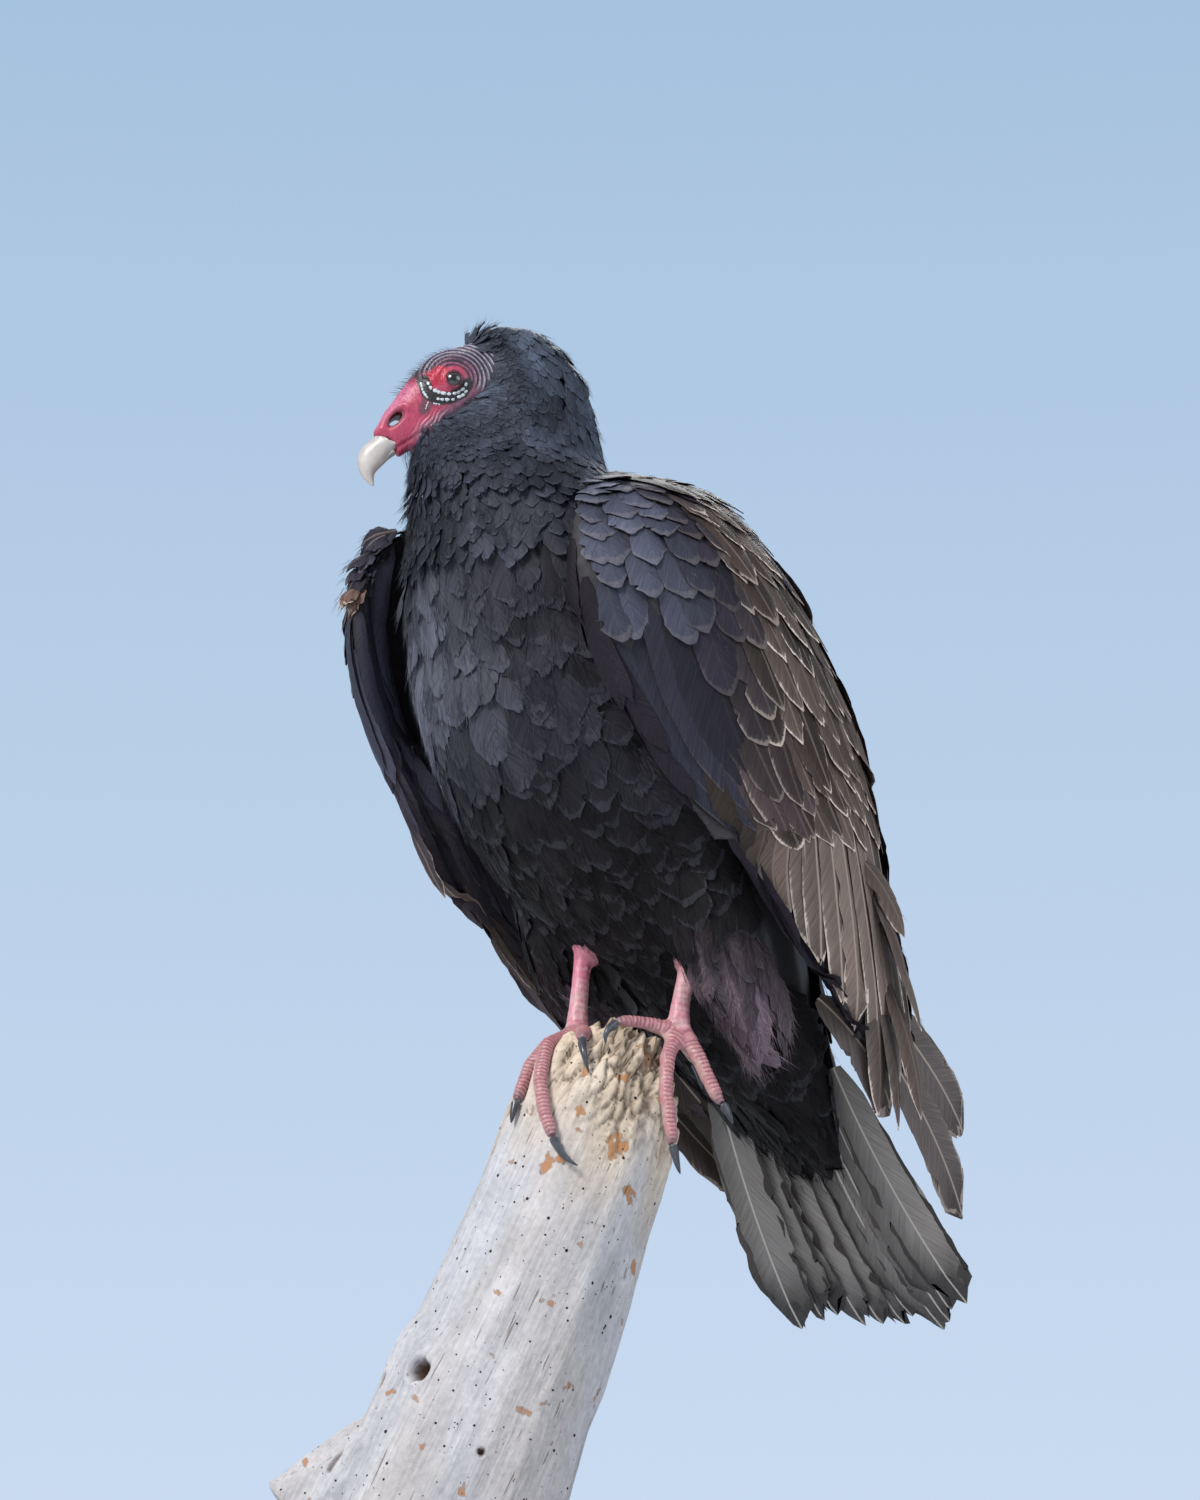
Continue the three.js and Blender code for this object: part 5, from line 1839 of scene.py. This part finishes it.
for side, sign in SIGNS:
    gap, shortest, longest, stiffness = EDGE_BLADES[sign]

    def face_tract(point, normal, sign=sign, gap=gap):
        if normal.x * sign > 0.5 or near_body(point, normal) or (sign > 0 and normal.z < -0.45):
            return None
        return {"gap": gap}

    blades = []
    for point, _ in scatter(wing_forms[sign], face_tract, 21):
        length = rng.uniform(shortest, longest)
        line, facing = walk(wing_trees[sign], point, length, 12, wing_flow, rng.normal(0, 0.04), stiffness)
        if not runs_straight(line, length, 0.97 if sign > 0 else 0.94):
            continue
        half = rng.uniform(0.0050, 0.0080) if sign > 0 else rng.uniform(0.0042, 0.0062)
        faded = 0.0 if sign > 0 else ease(0.66, 0.5, point.z) * rng.uniform(0, 1)
        slate = 0.0 if sign > 0 else rng.uniform(0.2, 1)
        tint = mixed(mixed(PURPLE_BLACK, SLATE_DARK, slate), WING_BROWN, faded)
        tint = tint * (rng.uniform(0.6, 1.5) if sign > 0 else rng.uniform(0.9, 2.4))
        uv = (0.05 + 0.4 * (point.y + 0.14) / 0.4, 0.05 + 0.9 * (point.z - 0.36) / 0.38)
        blades.append((line, facing, half, tint, uv, float(rng.uniform() < 0.3) * faded))
    lines, facings, half, tint, uv, share = columns_of(blades)
    spine = lifted(lines, facings, np.full(len(lines), 0.002), np.full(len(lines), 0.0018))
    vanes(
        "wing_edge_" + side, spine, facings, widths("blade", 12, half), 5, tint, vane_brown, uv,
        roll=rng.normal(0, 0.12, len(lines)), ragged=0.07, slits=0.05, fringe=share, shaft=share * 0.6,
        round=0.35,
    )

# %% Ruffled shoulder and loose feathers
def hand_laid(name, feathers, columns, bow, loose, **look):
    """Feathers placed one by one: (root, tip, facing, half width in mm, tint, pale edge) for each."""
    v = np.linspace(0, 1, 12)[None, :, None]
    roots, tips, facings, half, tint, worn = columns_of(feathers)
    up = np.repeat(unit(facings)[:, None], 12, axis=1)
    spine = roots[:, None] + (tips - roots)[:, None] * v + up * (bow * v * (1 - v) * 4)
    half = widths("pointed", 12, half * MM)
    uv = np.stack([0.1 + 0.8 * np.linspace(0, 1, len(feathers)), np.full(len(feathers), 0.5)], axis=1)
    piece = vanes(
        name, spine, up, half, columns, tint, vane_brown, uv, fringe=worn, shaft=0.25,
        roll=rng.normal(0, 0.15, len(feathers)), **look,
    )
    fringe("barbs_" + name, "wing_plumage", spine, up, half, tint, uv, loose, 0.007, 0.00016)
    return piece


RUFFLE_FEATHERS = 26
RUFFLE_TIP = (0.26, 0.15, 0.10)
RUFFLE_LINE = (Vector((-0.043, -0.078, 0.697)), Vector((-0.058, -0.090, 0.661)))
feathers = []
for k in range(RUFFLE_FEATHERS):
    share = k / (RUFFLE_FEATHERS - 1)
    root = RUFFLE_LINE[0].lerp(RUFFLE_LINE[1], share) + Vector(rng.normal(0, 0.0022, 3))
    heading = Vector((-0.72, -0.42, -0.50)).lerp(Vector((-0.26, -0.12, -0.96)), share)
    heading = (heading + Vector(rng.normal(0, 0.10, 3))).normalized()
    facing = Vector((-0.2, -0.9, 0.35)) + Vector(rng.normal(0, 0.25, 3))
    dark = mixed(SLATE_DARK, PURPLE_BLACK, rng.uniform(0, 1)) * rng.uniform(0.7, 1.4)
    buff = 0.5 * float(share > 0.8 and rng.uniform() < 0.6)
    tip = root + heading * rng.uniform(0.016, 0.022)
    feathers.append((root, tip, facing, rng.uniform(7.5, 9.5), mixed(dark, RUFFLE_TIP, buff), 0.04 + buff))
ruffle = hand_laid("ruffled_shoulder", feathers, 7, 0.003, 12, ragged=0.10, camber=0.3, slits=0.1, round=0.5)
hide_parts("ruffle_right")

REAR_OUT = (0.90, 0.40, -0.05)
rear_feathers = [
    ((0.153, 0.105, 0.505), (0.148, 0.150, 0.463), REAR_OUT, 9.0, mixed(WING_BROWN, BUFF, 0.5), 0.8),
    ((0.150, 0.122, 0.485), (0.142, 0.160, 0.429), REAR_OUT, 9.5, mixed(WING_BROWN, BUFF, 0.3), 0.9),
    ((0.146, 0.132, 0.470), (0.138, 0.175, 0.412), REAR_OUT, 9.5, mixed(WING_BROWN, BUFF, 0.6), 1.0),
    ((0.137, 0.146, 0.440), (0.134, 0.178, 0.362), REAR_OUT, 10.0, mixed(WING_BROWN, BUFF, 0.4), 0.8),
    ((0.133, 0.142, 0.440), (0.128, 0.165, 0.355), REAR_OUT, 10.0, mixed(WING_BROWN, TAUPE, 0.7), 0.9),
    ((0.138, 0.128, 0.450), (0.124, 0.152, 0.362), REAR_OUT, 10.0, mixed(WING_BROWN, TAUPE, 0.9), 0.9),
]
hand_laid("rear_feathers_left", rear_feathers, 9, 0.004, 8, ragged=0.06, camber=0.2, slits=0.06, round=0.4)
mirrored = [((68 * MM - r[0], *r[1:]), (68 * MM - t[0], *t[1:]), (-f[0], *f[1:]), *rest)
            for r, t, f, *rest in rear_feathers]
hand_laid("rear_feathers_right", mirrored, 9, 0.004, 8, ragged=0.06, camber=0.2, slits=0.06, round=0.4)

# %% The wing under its feathers, painted near-black as shade
# painted shade: the wing under the feathers is painted near-black, so that it shows between them as shadow
core_shade_finish, _, _ = mottled_material(
    "wing_under_feathers_shade", 0.7, (0.02, 0.018, 0.022), 180.0, 0.4, (0.001, 0.6))
for side, sign in SIGNS:
    core = wing_forms[sign]
    core.name = core.data.name = "wing_core_" + side
    apply_modifier(core, "SMOOTH", factor=0.5, iterations=14)
    set_points(core, points_of(core) - normals_of(core) * 0.0022)
    core.data.materials.append(core_shade_finish)
    dress(core, "wing_plumage", "wing_coverts_" + side, "wing_secondaries_" + side)

# %% [markdown]
# ## Primaries and tail
# The longest flight feathers stand free of the body, so both their faces show. Each solid gives one
# feather's root, tip and facing by its principal axes. The tail has twelve feathers in life, so its fan is
# laid out again with twelve, dark on top and silvery below: two vanes lie back to back for each.

# %% Free flight feathers
def axes_of(node):
    """Root, tip and broad side of a feather's solid, from its principal axes."""
    solid = copy_of([node], "solid")
    points = points_of(solid)
    bpy.data.objects.remove(solid)
    middle = points.mean(axis=0)
    _, _, axes = np.linalg.svd(points - middle, full_matrices=False)
    along = axes[0] * (1 if axes[0][1] > 0 else -1)
    reach = (points - middle) @ along
    across = (points - middle) @ axes[1]
    half = (across.max() - across.min()) / 2
    return middle + along * reach.min(), middle + along * reach.max(), unit(axes[1]), half


def free_feathers(name, feathers, replaced, tint_top, tint_low, finish, bow=0.01, **look):
    """Two vanes back to back for each feather of a list of (root, tip, side, half-width)."""
    rows = 18
    v = np.linspace(0, 1, rows)[None, :, None]
    roots, tips, sides, half = columns_of(feathers)
    facing = unit(np.cross(sides, tips - roots))
    facing = facing * np.where(facing[:, 2] < 0, -1, 1)[:, None]
    up = np.repeat(facing[:, None], rows, axis=1)
    line = roots[:, None] + (tips - roots)[:, None] * v + up * (bow * (v - 1) * v * 4)
    count = len(feathers)
    uv = np.stack([(np.arange(count) + 0.5) / count, np.full(count, 0.25)], axis=1)
    for face, tint, shift in (("upper", tint_top, 1), ("lower", tint_low, -1)):
        shade = np.array(tint)[None] * rng.uniform(0.82, 1.15, (count, 1))
        vanes(
            name + "_" + face, line + up * (0.0003 * shift), up * shift,
            widths("broad", rows, half), 9, shade, finish, uv + (0, 0.25 * shift),
            camber=0.02, patch=0.03, **look,
        )
    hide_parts(*replaced)


for side in SIDES:
    names = ["wing_primary_" + str(k) + "_" + side for k in (1, 2, 3)]
    free_feathers(
        "primaries_" + side, [(r, t, out, 1.25 * half) for r, t, out, half in map(axes_of, names)], names,
        (0.08, 0.062, 0.056), (0.125, 0.105, 0.10), vane_brown, ragged=0.09, slits=0.08,
        fringe=0.35, shaft=0.9, ridge=0.0007, round=0.35, worn_tip=0.8, dark_tip=0.6, tip_from=0.7,
    )

# %% Tail fan
TAIL_NODES = ["tail_feather_" + str(k) for k in range(1, 8)]
RECTRICES = 12
solids = [axes_of(node) for node in TAIL_NODES]
fan = np.array([0, 0.7, 1.1, 1.8, 2.3, 2.9, 3.3, 3.8, 4.3, 4.8, 5.2, 6.0])  # unevenly spread


def across_fan(column):
    values = np.array([solid[column] for solid in solids])
    return np.stack([np.interp(fan, np.arange(len(solids)), values[:, k]) for k in range(3)], axis=1)


fan_roots, fan_tips = across_fan(0), across_fan(1)
fan_roots = fan_roots + (fan_roots - fan_tips) * 0.08
fan_roots = fan_roots + np.outer(0.026 * smoothstep(3.5, 6, fan), (0.71, 0.71, 0))  # in under the left wing
fan_tips = fan_tips + unit(fan_tips - fan_roots) * rng.normal(0, 0.005, RECTRICES)[:, None]
fan_sides = unit(np.cross(fan_tips - fan_roots, np.cross((1, 0, 0), fan_tips - fan_roots)))
stagger = np.cross(fan_sides, unit(fan_tips - fan_roots))
stagger = stagger * np.sign(stagger[:, 2:3]) * (-0.0011 * np.abs(np.arange(RECTRICES) - 5.5))[:, None]
half_fan = 0.0165 + 0.004 * smoothstep(3, 5.5, np.abs(np.arange(RECTRICES) - 5.5))
rectrices = list(zip(fan_roots + stagger, fan_tips + stagger, fan_sides, half_fan))
free_feathers(
    "tail", rectrices, TAIL_NODES, (0.075, 0.06, 0.055), (0.30, 0.28, 0.265), vane_grey, slot="tail_plumage",
    ragged=0.12, slits=0.12, fringe=0.5, shaft=1.0, ridge=0.0009, round=0.3, bow=0.006,
    worn_tip=1.0, dark_tip=0.93, tip_from=0.66, dark_rear=0.4,
)

# %% [markdown]
# ## Bleached wood
# A dead branch loses its bark and turns silver-grey, with grain and checks along it, beetle holes, and a
# crumbled yellowish top where it broke. The finish paints the rest.

# %% Shape of the branch
WOOD_NET = 0.0014
KNOT_HOLE = ((-0.0218, -0.0693, 0.2139), 0.0062, 0.012)  # middle, radius, depth
SMALL_HOLE = ((0.0132, -0.0555, 0.1679), 0.0022, 0.004)
SPLITS = [
    [(-0.0498, -0.070, 0.2125), (-0.055, -0.082, 0.190), (-0.0655, -0.0963, 0.1595)],
    [(-0.030, -0.050, 0.300), (-0.036, -0.052, 0.270), (-0.044, -0.056, 0.238)],
    [(0.012, -0.040, 0.318), (0.008, -0.046, 0.292), (0.006, -0.050, 0.262)],
]

perch = copy_of(["perch"], "branch")
remesh(perch, WOOD_NET, 2)
wood = points_of(perch)
wood_middle = wood.mean(axis=0)
_, _, wood_axes = np.linalg.svd(wood[::9] - wood_middle, full_matrices=False)
WOOD_ALONG = wood_axes[0] * (1 if wood_axes[0][2] > 0 else -1)
wood_side = unit(np.cross(WOOD_ALONG, (0, 0, 1)))
wood_out = np.cross(WOOD_ALONG, wood_side)


def noise_at(points, scale, seed=0.0):
    scaled = points * np.array(scale) + (seed, 0, 0)
    return np.array([noise.noise(Vector(p)) for p in scaled])


def blocks_at(points, scale):
    """Broken blocks: a value for each block, and how deep in the gap between two blocks a point lies."""
    values, gaps = [], []
    for p in points * np.array(scale):
        reach, places = noise.voronoi(Vector(p))
        values.append(noise.cell(places[0] * 3.7))
        gaps.append(math.exp(-(reach[1] - reach[0]) / 0.13))
    return np.array(values), np.array(gaps)


local = (wood - wood_middle) @ np.stack([wood_side, wood_out, WOOD_ALONG], axis=1)
down_top = local[:, 2].max() - local[:, 2]
fine_grain = noise_at(local, (300, 300, 22))
broad_grain = noise_at(local, (60, 60, 14), 7.0)
broken = (1 - smoothstep(0.025, 0.085, down_top + 0.012 * broad_grain)) * smoothstep(
    0.0015, 0.008, distances(bare_tree, wood))
rough = np.flatnonzero(broken > 0.01)
block, gap = np.zeros(len(wood)), np.zeros(len(wood))
block[rough], gap[rough] = blocks_at(local[rough] + 0.002 * fine_grain[rough, None], (170, 170, 46))
splinters = noise_at(local, (150, 150, 8), 3.0)
push = 0.0004 * fine_grain + 0.0014 * broad_grain
push += broken * (0.0016 * block - 0.0030 * gap + 0.0010 * noise_at(local, (420, 420, 160), 5.0))
# this mask marks the insides of the knot hole and the small hole, which are painted dark brown as shade
hole_shade = np.zeros(len(wood))
for middle, radius, depth in (KNOT_HOLE, SMALL_HOLE):
    away = np.linalg.norm(wood - np.array(middle), axis=1) / radius + 0.3 * broad_grain + 0.2 * fine_grain
    push += -depth * np.exp(-away**4) + 0.12 * depth * np.exp(-((away - 1.5) / 0.4) ** 2)
    hole_shade = np.maximum(hole_shade, 1 - smoothstep(0.8, 1.25, away))
wavy = wood + 0.0012 * np.stack([splinters, fine_grain, np.zeros(len(wood))], axis=1)
split = 1 - smoothstep(0.0004, 0.0018, np.min([along_line(wavy, line)[0] for line in SPLITS], axis=0))
push -= 0.0016 * split
wood = wood + normals_of(perch) * push[:, None]
lift = broken * smoothstep(0.05, 0.005, down_top) * np.maximum(splinters + 0.5 * block, -0.3)
wood = wood + WOOD_ALONG * (0.011 * lift)[:, None]
set_points(perch, wood)

# %% Bleached wood
WOOD_GREY = (0.47, 0.475, 0.51)
WOOD_TAN = (0.44, 0.38, 0.33)
WOOD_CREAM = (0.683, 0.549, 0.390)
WOOD_OCHRE = (0.44, 0.20, 0.075)
# brown for the rims of the stains, and painted shade in cracks, crevices and holes
WOOD_BROWN_STAIN_AND_SHADE = (0.085, 0.05, 0.032)
BEETLE_HOLE_SHADE = (0.022, 0.016, 0.014)

# painted light: one side of the branch is painted a warmer tan, as the light falls on it; the noise adds tan
# patches at random
warm_lit_side = smoothstep(0.0, 0.04, local @ np.array((0.7, 0.7, 0)))
warm = smoothstep(-0.35, 0.5, noise_at(local, (26, 26, 7), 11.0) + 0.35 * warm_lit_side)
tint = layered(
    WOOD_GREY,
    (WOOD_TAN, 0.4 * warm),
    (WOOD_CREAM, 0.8 * smoothstep(0.12, 0.02, down_top + 0.03 * broad_grain)),
)
tint = layered(
    tint * (1 + 0.16 * broad_grain + 0.10 * fine_grain)[:, None],
    # painted shade: the gaps between broken blocks and the splits are painted dark brown, as shade in the
    # recesses
    (WOOD_BROWN_STAIN_AND_SHADE, np.maximum(0.9 * broken * gap, 0.8 * split)),
    # painted shade: the insides of the holes are painted dark brown
    (WOOD_BROWN_STAIN_AND_SHADE, hole_shade),
)
store_colour(perch.data, "paint", tint)
stain_zone = smoothstep(0.15, 0.05, down_top)
store_colour(perch.data, "marks", np.repeat(stain_zone[:, None], 3, axis=1))

wood_finish, tree, shader = start_material("bleached_wood", 0.85, Specular_IOR_Level=0.2)
wood_place = own_place(tree)
stretched = node_in(tree, "ShaderNodeCombineXYZ")
for label, axis, share in (("X", wood_side, 1.0), ("Y", wood_out, 1.0), ("Z", WOOD_ALONG, 0.055)):
    reach = node_in(tree, "ShaderNodeVectorMath", operation="DOT_PRODUCT")
    reach.inputs[1].default_value = tuple(float(c) * share for c in axis)
    wire(tree, wood_place, reach.inputs[0])
    wire(tree, reach.outputs["Value"], stretched.inputs[label])


def wood_holes(scale, sparse, size):
    """Small dark round holes: 1 in a hole and 0 on the wood."""
    node = node_in(tree, "ShaderNodeTexVoronoi")
    node.inputs["Scale"].default_value = scale
    wire(tree, wood_place, node.inputs["Vector"])
    chance = first_channel(tree, node.outputs["Color"])
    radius = product(tree, math_node(tree, "SUBTRACT", chance, sparse), size)
    return soft_step(tree, 0.0, 0.035, math_node(tree, "SUBTRACT", radius, node.outputs["Distance"]))


fibre = noise_node(tree, 700, 4, stretched.outputs[0])
crumb = noise_node(tree, 260, 5, wood_place)
stained = use_group(tree, mottle, Color=attribute(tree, "paint"), Scale=38.0, Strength=0.10)
streaks = math_node(tree, "ADD", centred(tree, fibre, 0.55), 1.0)
colour = shaded(tree, stained["Color"], math_node(tree, "ADD", centred(tree, crumb, 0.5), streaks))
zone = product(tree, first_channel(tree, attribute(tree, "marks")), 0.045)
blots = math_node(tree, "ADD", noise_node(tree, 75, 6, wood_place), zone)
colour = mix_colour(tree, product(tree, soft_step(tree, 0.66, 0.685, blots), 0.45), colour, WOOD_BROWN_STAIN_AND_SHADE)
colour = mix_colour(tree, product(tree, soft_step(tree, 0.67, 0.72, blots), 0.8), colour, WOOD_OCHRE)
# painted shade: the fine checks along the grain are painted brown, as shade in the cracks
checks = product(tree, soft_step(tree, 0.69, 0.73, noise_node(tree, 330, 2, stretched.outputs[0])), 0.55)
colour = mix_colour(tree, checks, colour, WOOD_BROWN_STAIN_AND_SHADE)
# painted shade: beetle holes are painted near-black, as shade in dips that only the bump makes
hole = math_node(tree, "MAXIMUM", wood_holes(165, 0.25, 0.26), wood_holes(340, 0.55, 0.42))
colour = mix_colour(tree, hole, colour, BEETLE_HOLE_SHADE)
wire(tree, colour, shader.inputs["Base Color"])
relief = math_node(tree, "ADD", product(tree, fibre, 0.7), crumb)
relief = math_node(tree, "SUBTRACT", relief, product(tree, math_node(tree, "ADD", hole, checks), 1.5))
add_bump(tree, shader, relief, 0.0011, 0.6)
perch.data.materials.append(wood_finish)
dress(perch, "dead_wood", "perch")

# %% [markdown]
# ## Display stand
# The stand is a heavy round base with two steel rods up into the branch. Turned parts like these start as
# a primitive with enough sides to look round, and a bevel catches the light along their edges.

# %% Base and rods
stand_black, _, _ = mottled_material(
    "stand_satin_black", 0.45, (0.022, 0.022, 0.024), 700.0, 0.25, (0.0002, 0.4), Coat_Weight=0.2,
    Coat_Roughness=0.3)
stand_steel, tree, shader = start_material("stand_brushed_steel", 0.32, Metallic=1.0)
stretch = node_in(tree, "ShaderNodeMapping")
stretch.inputs["Scale"].default_value = (90, 90, 2600)
wire(tree, own_place(tree), stretch.inputs["Vector"])
brushed = noise_node(tree, 1.0, 3, stretch.outputs["Vector"])
steel_grey = node_in(tree, "ShaderNodeMapRange")
steel_grey.inputs["To Min"].default_value = 0.42
steel_grey.inputs["To Max"].default_value = 0.62
wire(tree, brushed, steel_grey.inputs["Value"])
wire(tree, steel_grey.outputs[0], shader.inputs["Base Color"])
add_bump(tree, shader, brushed, 0.0001, 0.5)


def turned(node, name, sides, edge, finish, slot):
    """A round piece in the box of its solid, with its edges bevelled."""
    low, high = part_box(node)
    middle = (low + high) / 2
    deselect_all()
    bpy.ops.mesh.primitive_cylinder_add(vertices=sides, radius=(high.x - low.x) / 2, depth=high.z - low.z)
    piece = bpy.context.object
    piece.name = piece.data.name = name
    piece.data.transform(Matrix.Translation(middle))
    apply_modifier(piece, "BEVEL", width=edge, segments=4, limit_method="ANGLE", angle_limit=math.radians(40))
    piece.data.materials.append(finish)
    dress(piece, slot, node, crease=35)


turned("stand_base", "stand_foot", 160, 0.004, stand_black, "stand_black")
for k in (1, 2):
    turned("stand_rod_" + str(k), "stand_post_" + str(k), 48, 0.0008, stand_steel, "stand_steel")

# %% Put the working forms away and finish
bpy.data.objects.remove(body)
